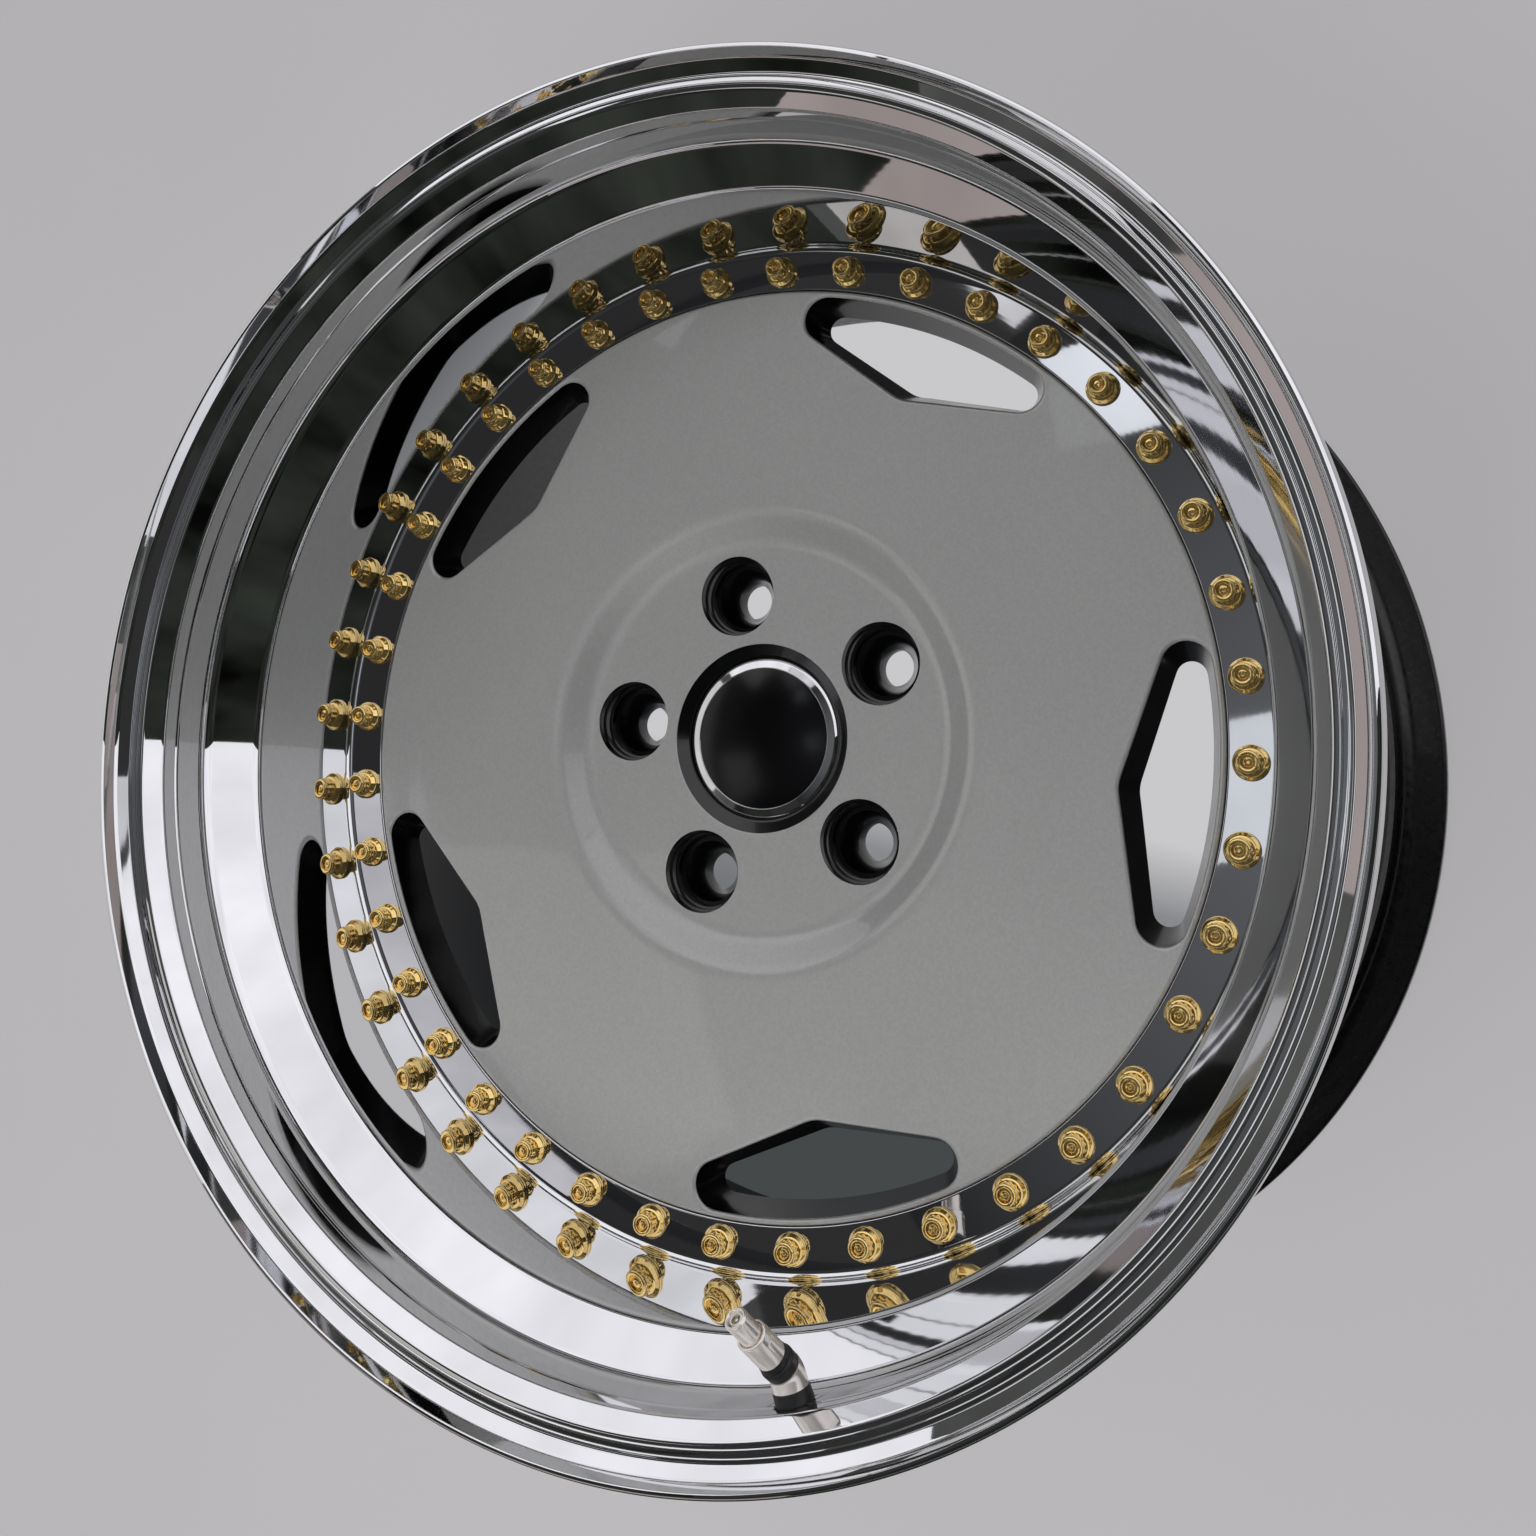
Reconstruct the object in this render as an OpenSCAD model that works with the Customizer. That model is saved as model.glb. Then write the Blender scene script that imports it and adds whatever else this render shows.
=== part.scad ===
/* [Rim] */
// Bead seat diameter of both rim halves
bead_d = 462; // [440:1:488]
// Width between the two tyre faces of the flanges
rim_w = 254; // [240:1:280]
// Height of the flange above the bead seat
flange_h = 17.5; // [16:0.5:19]
// Thickness of the lip's flange at its edge
lip_flange_edge = 12; // [11:0.5:13]
// Thickness of the barrel's flange at its edge
barrel_flange_edge = 10; // [9:0.5:12]
// Wall of the lip and of the barrel
rim_wall = 4; // [3.5:0.5:5]
// Depth of the bolted band behind the front edge of the lip
lip_depth = 107.7; // [96:0.1:114]

/* [Bolted joint] */
// Number of rim bolts
bolt_n = 40; // [30:5:40]
// Diameter of the circle of rim bolts
bolt_circle_d = 390; // [386:1:394]
// Angle from a lug hole to the next rim bolt
bolt_phase = 4; // [0:0.5:9]
// Diameter of a rim bolt's shank
bolt_d = 7; // [6:0.5:8]
// Diameter of a rim bolt's domed collar
collar_d = 13; // [12:0.5:14]
// Height of a rim bolt's head over the band
head_h = 8.4; // [7.5:0.1:10]
// Thickness of the lip's bolted flange
lip_flange_t = 6.5; // [5:0.5:8]
// Thickness of the disc's bolted flange
disc_flange_t = 9; // [7:0.5:11]
// Thickness of the barrel's bolted flange
barrel_flange_t = 5.5; // [4.5:0.5:7]

/* [Centre disc] */
// Diameter of the painted face inside the bolted band
face_d = 373.2; // [371:0.2:374]
// Height of the painted face over the bolted band
face_rise = 0.5; // [0.2:0.1:1.5]
// Thickness of the disc at its windows
disc_t = 15; // [12:0.5:18]
// Number of windows and of lug holes
lug_n = 5; // [4:1:5]
// Depth of the hub pad below the painted face
pad_drop = 7.5; // [5:0.5:10]
// Diameter of the hub pad at the foot of its step
pad_d = 160; // [154:1:166]
// Diameter of the step at the painted face
step_d = 186; // [180:1:196]
// Thickness from the hub pad to the mounting face
hub_t = 26; // [24:0.5:30]
// Diameter of the mounting face
mount_d = 154; // [148:1:160]

/* [Windows] */
// Radius of a window's outer edge about the wheel's axis
window_out_r = 184.4; // [182:0.1:184.6]
// Radius at which a window's two inner edges meet
window_in_r = 148.2; // [144:0.1:152]
// Half the distance between the centres of a window's round ends
window_half_w = 45.7; // [40:0.1:48]
// Radius of a window's round ends
window_end_r = 9.5; // [8:0.1:10]
// How much a window narrows on each side from front to back
window_draft = 5; // [2:0.5:6]

/* [Hub] */
// Pitch circle of the lug holes
lug_pcd = 120; // [112:0.1:122]
// Diameter of a lug hole
lug_d = 15.2; // [14:0.1:16]
// Diameter of a lug pocket's mouth
pocket_d = 33.4; // [31:0.2:34]
// Depth of a lug pocket to its seat
pocket_depth = 9.5; // [8:0.5:11]
// Diameter of the bore on the vehicle's hub
hub_bore_d = 72.6; // [70:0.1:74]

/* [Centre cap] */
// Diameter of the cap's flange
cap_d = 66.4; // [64:0.1:67]
// Width of the black chamfer round the cap
surround_w = 5.7; // [4.5:0.1:6]
// Width of the chromed bezel round the dome
bezel_w = 3.4; // [2.5:0.1:5]
// Rise of the dome at its centre
dome_rise = 2.6; // [1.5:0.1:3.5]

/* [Valve] */
// Depth of the valve's seat behind the front edge
valve_drop = 26; // [23:0.5:29]
// Angle of the valve round the wheel, a lug hole being at 90
valve_a = 273.9; // [265:0.1:280]
// Tilt of the valve's seat axis towards the front
valve_tilt = 10.5; // [5:0.5:15]
// Bend of the valve stem towards the front
valve_bend = 35.4; // [20:0.2:42]
// Turn of the bent stem about its seat axis
valve_swivel = -9.4; // [-15:0.2:15]
// Diameter of the valve's elbow
elbow_d = 12.4; // [11:0.2:13]
// Diameter of the stem's threaded end
stem_d = 8.2; // [7.6:0.1:8.6]
// Diameter of the chromed sleeve
sleeve_d = 11; // [10.6:0.1:12]
// Length of the chromed sleeve
sleeve_h = 12; // [10:0.5:14]
// Length of the threaded end outside the sleeve
tip_h = 9.6; // [8:0.2:11]
// Travel of the valve pin when it is pressed
pin_travel = 1.2; // [0.8:0.1:1.4]

/* [Hidden] */
$fn = 96;
eps = 0.01;

// Heights from the rear edge of the barrel, which the wheel lies on
bead_r = bead_d / 2;
edge_r = bead_r + flange_h;
front_z = rim_w + lip_flange_edge + barrel_flange_edge;
band_z = front_z - lip_depth;
lip_back_z = band_z - lip_flange_t;
disc_back_z = lip_back_z - disc_flange_t;
barrel_back_z = disc_back_z - barrel_flange_t;
face_z = band_z + face_rise;
pad_z = face_z - pad_drop;
mount_z = pad_z - hub_t;
bolt_r = bolt_circle_d / 2;
face_r = face_d / 2;

// The tyre seat is the same on both halves, measured from the tyre face of its flange
seat_taper = 5;
seat_w = 20;
seat_round = 6.5;
seat_end_r = bead_r - seat_w * tan(seat_taper);
hump_h = 0.8;
hump_w = 3;
bead_round = 2.4;

// The visible side of the flange and of the step behind it
edge_bead_w = 5;
channel_drop = 6.7;
channel_r = edge_r - 7;
step_corner_r = bead_r - 3.6;
step_corner_drop = 8.3;
ring_a_r = bead_r - 5.4;
ring_a_drop = 32.2;
step_round = 30;
corner_round = 12;

// The lip's steep inner wall, down to the bolted band
crisp_r = 211.3;
crisp_z = front_z - 55;
band_out_r = bolt_r + 8.6;
band_round = 2.5;
band_gap = 0.3;
band_in_r = face_r + band_gap;
joint_r = band_out_r + rim_wall;
wall_slope = (ring_a_r - crisp_r) / (front_z - ring_a_drop - crisp_z);
out_corner_z = crisp_z - rim_wall * 0.4;
out_corner_r = seat_end_r - hump_h
    - wall_slope * (front_z - lip_flange_edge - seat_w - 2 * hump_w - out_corner_z);

// The barrel's drop centre
well_r = joint_r;
well_z = 62;

clearance = 0.2;
groove_d = 2;
bolt_hole_d = bolt_d + 0.4;
washer_t = 1;
washer_d = 12.8;
nut_t = 6.5;
nut_af = 10;
nut_flange_d = 12.2;
nut_flange_t = 2;
thread_over = 1.6;

// Points of a path whose corners are rounded, each given as [x, y, radius]
function unit(v) = v / norm(v);
function corner(a, b, c, r, n) =
    let (u = unit(a - b), v = unit(c - b), half = acos(u * v) / 2,
         centre = b + unit(u + v) * r / sin(half),
         p = b + u * r / tan(half) - centre, q = b + v * r / tan(half) - centre,
         start = atan2(p[1], p[0]), turn = atan2(q[1], q[0]) - start,
         sweep = turn > 180 ? turn - 360 : (turn < -180 ? turn + 360 : turn))
    [for (i = [0:n]) centre + r * [cos(start + sweep * i / n), sin(start + sweep * i / n)]];
function xy(p) = [p[0], p[1]];
function rounded(pts, n = 5) =
    let (last = len(pts) - 1)
    [for (i = [0:last]) each (pts[i][2] > 0
        ? corner(xy(pts[i == 0 ? last : i - 1]), xy(pts[i]), xy(pts[i == last ? 0 : i + 1]), pts[i][2], n)
        : [xy(pts[i])])];

module ring(pts, n = 5) {
    rotate_extrude($fn = 180) polygon(rounded(pts, n));
}

module round_pattern(n, r, start = 90) {
    for (i = [0:n - 1]) rotate([0, 0, start + i * 360 / n]) translate([r, 0, 0]) children();
}

module at_bolts() {
    round_pattern(bolt_n, bolt_r, 90 + bolt_phase) children();
}

// One flange and tyre seat, from the visible side of the edge round to the seat's far end.
// s is 1 for the front half, whose heights count down from the front edge, and -1 for the rear.
// t is the thickness of the flange's edge.
function down(z0, s, d) = z0 - s * d;
function visible_side(z0, s, t) =
    let (thinner = (t - lip_flange_edge) / 2)
    [[ring_a_r, down(z0, s, ring_a_drop), step_round],
     [step_corner_r, down(z0, s, step_corner_drop + thinner), corner_round],
     [channel_r, down(z0, s, channel_drop + thinner), 3],
     [edge_r - edge_bead_w, z0, 1.6],
     [edge_r, z0, bead_round]];
function tyre_side(z0, s, t) = [
    [edge_r, down(z0, s, t), 1.5],
    [bead_r, down(z0, s, t), seat_round],
    [seat_end_r, down(z0, s, t + seat_w), 0],
    [seat_end_r + hump_h, down(z0, s, t + seat_w + hump_w / 2), 0],
    [seat_end_r - hump_h, down(z0, s, t + seat_w + 2 * hump_w), 2]];
function backwards(list) = [for (i = [len(list) - 1:-1:0]) list[i]];

module outer_lip() {
    wall_foot = [band_out_r, band_z, band_round];
    crisp = [crisp_r, crisp_z, 3];
    color("gainsboro") difference() {
        ring(concat(
            [[band_in_r, lip_back_z, 0], [band_in_r, band_z, 0.5], wall_foot, crisp],
            visible_side(front_z, 1, lip_flange_edge),
            tyre_side(front_z, 1, lip_flange_edge),
            [[out_corner_r, out_corner_z, 6], [joint_r, lip_back_z, 0]]), 7);
        at_bolts() translate([0, 0, lip_back_z - 1]) cylinder(d = bolt_hole_d, h = lip_flange_t + 2, $fn = 24);
        valve_place() {
            translate([0, 0, -20]) cylinder(d = valve_hole_d, h = 25, $fn = 32);
            cylinder(r = foot_r + 0.3, h = 10, $fn = 48);
            translate([0, 0, -lip_skin - 20]) cylinder(d = seat_d + 1, h = 20, $fn = 48);
        }
    }
}

module inner_barrel() {
    inner_r = well_r - rim_wall;
    corner_r = 1.5;
    color("#111214") difference() {
        ring(concat(
            [[band_in_r + 0.4, barrel_back_z, 1], [band_in_r + 0.4, disc_back_z, 0], [well_r, disc_back_z, 0],
             [well_r, well_z, 10]],
            backwards(tyre_side(0, -1, barrel_flange_edge)),
            backwards(visible_side(0, -1, barrel_flange_edge)),
            [[inner_r, well_z - 2, 10], [inner_r, barrel_back_z, corner_r]]), 7);
        at_bolts() translate([0, 0, barrel_back_z - 1]) cylinder(d = bolt_hole_d, h = barrel_flange_t + 2, $fn = 24);
    }
}

// Outline of a window, its round ends touching the outer arc and the straight inner edges
function arc(c, r, a0, a1, n) =
    [for (i = [0:n]) c + r * [cos(a0 + (a1 - a0) * i / n), sin(a0 + (a1 - a0) * i / n)]];
function window_outline(inset) =
    let (re = window_end_r - inset * 0.75, ro = window_out_r - inset,
         cx = window_half_w - inset * 0.6, cy = sqrt(pow(ro - re, 2) - cx * cx),
         tip = window_in_r + inset, lean = atan((cy - tip) / cx) - asin(re / norm([cx, cy - tip])),
         out_a = atan2(cy, cx), n = 6)
    concat(
        arc([0, 0], ro, 180 - out_a, out_a, 10),
        arc([cx, cy], re, out_a, lean - 90, n),
        [for (x = [1, 0, -1]) [x * 3, tip + 3 * tan(lean) * (x == 0 ? 0.45 : 1)]],
        arc([-cx, cy], re, 270 - lean, 180 - out_a, n));

module window_cut() {
    over = 1;
    rise = over * window_draft / disc_t;
    hull() {
        translate([0, 0, face_z + over]) linear_extrude(eps) polygon(window_outline(-rise));
        translate([0, 0, face_z - disc_t - over]) linear_extrude(eps) polygon(window_outline(window_draft + rise));
    }
}

module lug_pocket() {
    seat_z = pad_z - pocket_depth;
    r = pocket_d / 2;
    step = 0.8;
    seat_r = lug_d / 2 + 4.8;
    rotate_extrude($fn = 64) polygon([
        [0, pad_z + 2], [r + 0.1, pad_z + 2], [r, pad_z], [r - 0.4, pad_z - 3.6], [r - 0.4 - step, pad_z - 3.9],
        [r - 0.7 - step, pad_z - 6.8], [r - 0.7 - 2 * step, pad_z - 7.1], [r - 0.9 - 2 * step, seat_z],
        [seat_r, seat_z], [lug_d / 2, seat_z - (seat_r - lug_d / 2) / tan(30)], [0, seat_z - (seat_r - lug_d / 2) / tan(30)]]);
}

surround_d = cap_d + 2 * surround_w;
cap_ledge_z = pad_z - 5.6;
cap_bore_d = cap_d - 3.4;
cap_shelf_t = 5;
hub_bore_z = cap_ledge_z - cap_shelf_t - 3.6;
hub_relief_r = hub_bore_d / 2 - 1.2;

module centre_disc() {
    back_z = face_z - disc_t;
    step_w = (step_d - pad_d) / 2;
    color("#8e8f8f") difference() {
        ring([
            [hub_bore_d / 2, mount_z, 1], [mount_d / 2, mount_z, 2],
            [mount_d / 2 + 14, back_z, 12], [face_r - 3, back_z, 2], [face_r, disc_back_z, 0.5],
            [joint_r - groove_d, disc_back_z, 0.5], [joint_r - groove_d, lip_back_z, 0.5], [face_r, lip_back_z, 0],
            [face_r, face_z, 1.6], [step_d / 2, face_z, 14], [pad_d / 2, pad_z, 14],
            [surround_d / 2, pad_z, 0.8], [cap_d / 2 + clearance + 0.6, cap_ledge_z + 2.4, 0],
            [cap_d / 2 + clearance, cap_ledge_z + 2.2, 0], [cap_d / 2 + clearance, cap_ledge_z, 0],
            [cap_bore_d / 2, cap_ledge_z, 0], [cap_bore_d / 2, cap_ledge_z - cap_shelf_t, 0],
            [hub_relief_r, cap_ledge_z - cap_shelf_t, 0], [hub_relief_r, hub_bore_z, 0],
            [hub_bore_d / 2, hub_bore_z, 0]], 6);
        for (i = [0:lug_n - 1]) rotate([0, 0, 180 / lug_n + i * 360 / lug_n]) window_cut();
        round_pattern(lug_n, lug_pcd / 2) {
            lug_pocket();
            translate([0, 0, mount_z - 1]) cylinder(d = lug_d, h = hub_t, $fn = 48);
        }
        at_bolts() translate([0, 0, disc_back_z - 1]) cylinder(d = bolt_hole_d, h = disc_flange_t + 2, $fn = 24);
    }
}

// Bead of sealant over the joint of the two rim halves, on the tyre side
module rim_seal() {
    groove_r = joint_r - groove_d + 0.2;
    lap = 3;
    skin = 0.1;
    lean = (out_corner_r - joint_r) / (out_corner_z - lip_back_z);
    color("dimgray") ring([
        [groove_r, disc_back_z + skin, 0], [joint_r + skin, disc_back_z + skin, 0],
        [joint_r + skin, disc_back_z - lap, 0], [joint_r + 2, disc_back_z - lap + 0.6, 1.5],
        [joint_r + 2.2, lip_back_z + lap - 0.6, 1.5], [joint_r + skin + lap * lean, lip_back_z + lap, 0],
        [joint_r + skin, lip_back_z - skin, 0], [groove_r, lip_back_z - skin, 0]]);
}

// A rim bolt: domed collar, twelve-point neck, end ring with a dished middle
neck_d = 8.8;
module rim_bolt() {
    r = neck_d / 2;
    collar_h = 3.4;
    union() {
        rotate_extrude($fn = 40) polygon(rounded([
            [0, head_h - 2.2, 0], [0.9, head_h - 1.5, 0], [2.1, head_h - 1.5, 0], [2.9, head_h - 2.3, 0],
            [3, head_h, 0], [r - 0.3, head_h, 0.3], [r - 0.2, head_h - 1.6, 0.3], [r - 0.9, head_h - 2, 0],
            [r - 0.9, collar_h - 0.5, 0], [collar_d / 2 - 1.2, 2.2, 1.2], [collar_d / 2, 0.8, 0.8],
            [collar_d / 2, 0, 0], [bolt_d / 2, 0, 0], [bolt_d / 2, -bolt_len, 0.6], [0, -bolt_len, 0]], 4));
        for (i = [0:2]) rotate([0, 0, i * 30])
            translate([-r * 0.74, -r * 0.74, collar_h - 1.4]) cube([r * 1.48, r * 1.48, head_h - 2 - collar_h + 1.4]);
    }
}
bolt_len = band_z - barrel_back_z + washer_t + nut_t + thread_over;

module rim_bolts() {
    color("goldenrod") at_bolts() translate([0, 0, band_z]) rim_bolt();
}

module rim_washers() {
    color("silver") at_bolts() translate([0, 0, barrel_back_z - washer_t]) difference() {
        cylinder(d = washer_d, h = washer_t, $fn = 36);
        translate([0, 0, -1]) cylinder(d = bolt_hole_d, h = washer_t + 2, $fn = 24);
    }
}

module rim_nuts() {
    color("silver") at_bolts() translate([0, 0, barrel_back_z - washer_t - nut_t]) difference() {
        union() {
            cylinder(d = nut_af / cos(30), h = nut_t, $fn = 6);
            translate([0, 0, nut_t - nut_flange_t]) cylinder(d = nut_flange_d, h = nut_flange_t, $fn = 36);
        }
        translate([0, 0, -1]) cylinder(d = bolt_d, h = nut_t + 2, $fn = 24);
    }
}

// Centre cap: a clipped plastic body that carries a chromed bezel and a glossy dome
cap_flange_t = 1.6;
dome_d = cap_d - 2 * bezel_w;
bezel_h = 1.4;
bezel_edge = 0.5;
clip_r = cap_bore_d / 2 - clearance;
clip_t = 1.8;
clip_len = cap_shelf_t + 3;
module cap_body() {
    root = cap_flange_t / 2;
    color("#0c0c0d") difference() {
        union() {
            translate([0, 0, cap_ledge_z]) cylinder(d = cap_d, h = cap_flange_t);
            difference() {
                ring([[clip_r - clip_t, cap_ledge_z + root, 0], [clip_r - clip_t, cap_ledge_z - clip_len, 0.4],
                      [clip_r + 0.7, cap_ledge_z - cap_shelf_t - 1.2, 0.3], [clip_r + 0.7, cap_ledge_z - cap_shelf_t - clearance, 0],
                      [clip_r, cap_ledge_z - cap_shelf_t - clearance, 0], [clip_r, cap_ledge_z + root, 0]], 3);
                for (i = [0:4]) rotate([0, 0, i * 36]) translate([-cap_d, -5.5, cap_ledge_z - clip_len - 1])
                    cube([2 * cap_d, 11, clip_len + 1 - eps]);
            }
            translate([0, 0, cap_ledge_z - 2]) cylinder(r = clip_r - clip_t - 1.4, h = 2.2);
        }
        translate([0, 0, cap_ledge_z - 3]) cylinder(r = clip_r - clip_t - 3, h = 3 + cap_flange_t - 1);
    }
}

module cap_bezel() {
    z = cap_ledge_z + cap_flange_t;
    color("gainsboro") ring([
        [dome_d / 2, z, 0], [dome_d / 2, z + bezel_h, 0.4], [dome_d / 2 + 0.7, z + bezel_h, 0.3],
        [cap_d / 2 - bezel_edge, z + 0.3, 0.3], [cap_d / 2 - bezel_edge, z, 0]], 3);
}

module cap_dome() {
    z = cap_ledge_z + cap_flange_t;
    r = dome_d / 2 - 0.05;
    sphere_r = (r * r + dome_rise * dome_rise) / (2 * dome_rise);
    half_a = asin(r / sphere_r);
    rim = 1.2;
    color("black") translate([0, 0, z]) rotate_extrude($fn = 120) polygon(concat(
        [[0, 0], [r, 0]],
        [for (i = [0:12]) [sphere_r * sin(half_a * (1 - i / 12)),
                           rim + dome_rise - sphere_r + sphere_r * cos(half_a * (1 - i / 12))]]));
}

module cap_spring_ring() {
    wire = 1.4;
    color("silver") translate([0, 0, cap_ledge_z - cap_shelf_t - 0.4]) difference() {
        rotate_extrude() translate([clip_r - clip_t - wire / 2, 0]) circle(d = wire, $fn = 16);
        translate([0, -2, -2]) cube([clip_r + 5, 4, 4]);
    }
}

// Valve: an elbow outside the lip, held by a nut on the tyre side. Its own z axis is the seat's axis.
valve_hole_d = 9.2;
spigot_r = 4.4;
seat_d = 15;
lip_skin = 3.4;
inner_seal_t = 1.6;
washer_in_t = 0.8;
valve_nut_t = 4;
valve_nut_af = 12;
foot_r = 6.7;
foot_h = 3.6;
knee_h = 8.7;
knee_out = 2.2;
knee_rise = 0.25;
ring_h = 7.2;
core_d = 5.2;
core_h = 15;
core_drop = 0.6;
air_d = 2.4;
stem_top = ring_h + sleeve_h + tip_h;
valve_z = front_z - valve_drop;
valve_seat_r = ring_a_r + (ring_a_drop - valve_drop)
    * (step_corner_r - ring_a_r) / (ring_a_drop - step_corner_drop);

module valve_place() {
    rotate([0, 0, valve_a]) translate([valve_seat_r, 0, valve_z]) rotate([0, valve_tilt - 90, 0]) children();
}

module bent_place() {
    valve_place() rotate([0, 0, valve_swivel]) translate([0, 0, knee_h]) rotate([0, valve_bend, 0])
        translate([0, 0, knee_out]) children();
}

module valve_stem() {
    spigot_h = lip_skin + inner_seal_t + washer_in_t + valve_nut_t + 1;
    color("gainsboro") difference() {
        union() {
            valve_place() {
                translate([0, 0, -spigot_h]) cylinder(r = spigot_r, h = spigot_h + knee_h, $fn = 48);
                translate([0, 0, foot_h]) cylinder(d = elbow_d, h = knee_h - foot_h, $fn = 48);
                translate([0, 0, knee_h]) sphere(d = elbow_d + 2 * knee_rise, $fn = 48);
            }
            bent_place() {
                translate([0, 0, -knee_out]) cylinder(d = elbow_d, h = knee_out, $fn = 48);
                translate([0, 0, -knee_out]) cylinder(r = spigot_r, h = knee_out + ring_h, $fn = 48);
                translate([0, 0, -knee_out]) cylinder(d = stem_d, h = knee_out + stem_top, $fn = 48);
            }
        }
        valve_place() {
            translate([0, 0, -spigot_h - 1]) cylinder(d = air_d, h = spigot_h + 1 + knee_h, $fn = 24);
            translate([0, 0, knee_h]) sphere(d = air_d + 2 * knee_rise, $fn = 24);
        }
        bent_place() {
            translate([0, 0, -knee_out]) cylinder(d = air_d, h = knee_out + stem_top, $fn = 24);
            translate([0, 0, stem_top - core_h - core_drop]) cylinder(d = core_d + 0.1, h = core_h + core_drop + 1, $fn = 36);
            difference() {
                cylinder(d = elbow_d + 4, h = ring_h, $fn = 48);
                translate([0, 0, -1]) cylinder(r = spigot_r, h = ring_h + 2, $fn = 48);
            }
        }
    }
}

module seat_washer(d_out, z, t) {
    valve_place() translate([0, 0, z]) difference() {
        cylinder(d = d_out, h = t, $fn = 48);
        translate([0, 0, -1]) cylinder(r = spigot_r, h = t + 2, $fn = 48);
    }
}

module valve_inner_seal() {
    color("#151515") seat_washer(seat_d, -lip_skin - inner_seal_t, inner_seal_t);
}

module valve_washer() {
    color("silver") seat_washer(seat_d - 0.6, -lip_skin - inner_seal_t - washer_in_t, washer_in_t);
}

module valve_nut() {
    color("silver") valve_place() translate([0, 0, -lip_skin - inner_seal_t - washer_in_t - valve_nut_t]) difference() {
        cylinder(d = valve_nut_af / cos(30), h = valve_nut_t, $fn = 6);
        translate([0, 0, -1]) cylinder(r = spigot_r, h = valve_nut_t + 2, $fn = 48);
    }
}

// Rubber foot under the elbow, with a lip against the wheel
module valve_outer_seal() {
    color("#151515") valve_place() rotate_extrude($fn = 48) polygon(rounded([
        [spigot_r, 0, 0], [foot_r, 0, 0.4], [foot_r - 0.4, foot_h, 0.5], [spigot_r, foot_h, 0]], 4));
}

// Rubber ring between the elbow and the sleeve
module valve_ring() {
    r = elbow_d / 2;
    color("#151515") bent_place() rotate_extrude($fn = 48) polygon(rounded([
        [spigot_r, 0, 0], [r - 0.2, 0, 0.8], [r + 0.1, ring_h * 0.55, 1], [r - 0.8, ring_h * 0.64, 0],
        [r - 0.4, ring_h * 0.74, 0.4], [r - 0.7, ring_h, 0.5], [spigot_r, ring_h, 0]], 4));
}

module valve_sleeve() {
    r = sleeve_d / 2;
    color("gainsboro") bent_place() translate([0, 0, ring_h]) difference() {
        rotate_extrude($fn = 48) polygon(rounded([
            [stem_d / 2, 0, 0], [r, 0, 0.4], [r, sleeve_h, 0.5], [r - 0.9, sleeve_h, 0],
            [stem_d / 2 + 0.2, sleeve_h - 1, 0], [stem_d / 2, sleeve_h - 1, 0]], 3));
        for (s = [-1, 1]) translate([-4, s > 0 ? r - 0.5 : -r - 1.5, sleeve_h - 4]) cube([8, 2, 3]);
    }
}

// Valve core: a spring holds the pin's plug against the core's inner end
pin_r = 0.75;
core_wall_r = 1.6;
slide_fit = 0.08;
plug_t = 1.4;
plug_gap = 0.05;
core_seat_h = pin_travel + plug_t + 0.4;
spring_room = 6;
spring_wire = 0.4;
spring_h = 3.2;
spring_turns = 4;

module core_place() {
    bent_place() translate([0, 0, stem_top - core_drop - core_h]) children();
}

module valve_core() {
    color("gold") core_place() difference() {
        cylinder(d = core_d, h = core_h, $fn = 36);
        translate([0, 0, -1]) cylinder(r = pin_r + slide_fit, h = core_h + 2, $fn = 24);
        translate([0, 0, -1]) cylinder(r = core_wall_r, h = core_seat_h + 1, $fn = 24);
        translate([0, 0, core_h - spring_room]) cylinder(r = core_wall_r, h = spring_room + 1, $fn = 24);
    }
}

// The spring's wire is swept along its helix, from the shoulder in the core to the pin's collar
module valve_spring() {
    n = 16;
    sides = 6;
    rings = n * spring_turns;
    mid_r = pin_r + slide_fit + 0.12 + spring_wire / 2;
    pitch = (spring_h - spring_wire) / spring_turns;
    function ring_point(i, j) =
        let (a = 360 * i / n, b = 360 * j / sides, r = mid_r + spring_wire / 2 * cos(b))
        [r * cos(a), r * sin(a), spring_wire / 2 + pitch * i / n + spring_wire / 2 * sin(b)];
    color("silver") core_place() translate([0, 0, core_h - spring_room]) polyhedron(
        points = [for (i = [0:rings], j = [0:sides - 1]) ring_point(i, j)],
        faces = concat(
            [[for (j = [0:sides - 1]) j]],
            [for (i = [0:rings - 1], j = [0:sides - 1])
                [i * sides + j, (i + 1) * sides + j, (i + 1) * sides + (j + 1) % sides, i * sides + (j + 1) % sides]],
            [[for (j = [sides - 1:-1:0]) rings * sides + j]]));
}

module valve_pin() {
    collar_r = core_wall_r - slide_fit;
    color("gold") core_place() union() {
        translate([0, 0, core_seat_h - plug_t]) cylinder(r = pin_r, h = core_h - 0.4 - core_seat_h + plug_t, $fn = 24);
        translate([0, 0, core_h - spring_room + spring_h]) cylinder(r = collar_r, h = 0.8, $fn = 24);
        translate([0, 0, core_seat_h - plug_t - plug_gap]) cylinder(r = collar_r, h = plug_t, $fn = 24);
    }
}

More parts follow.
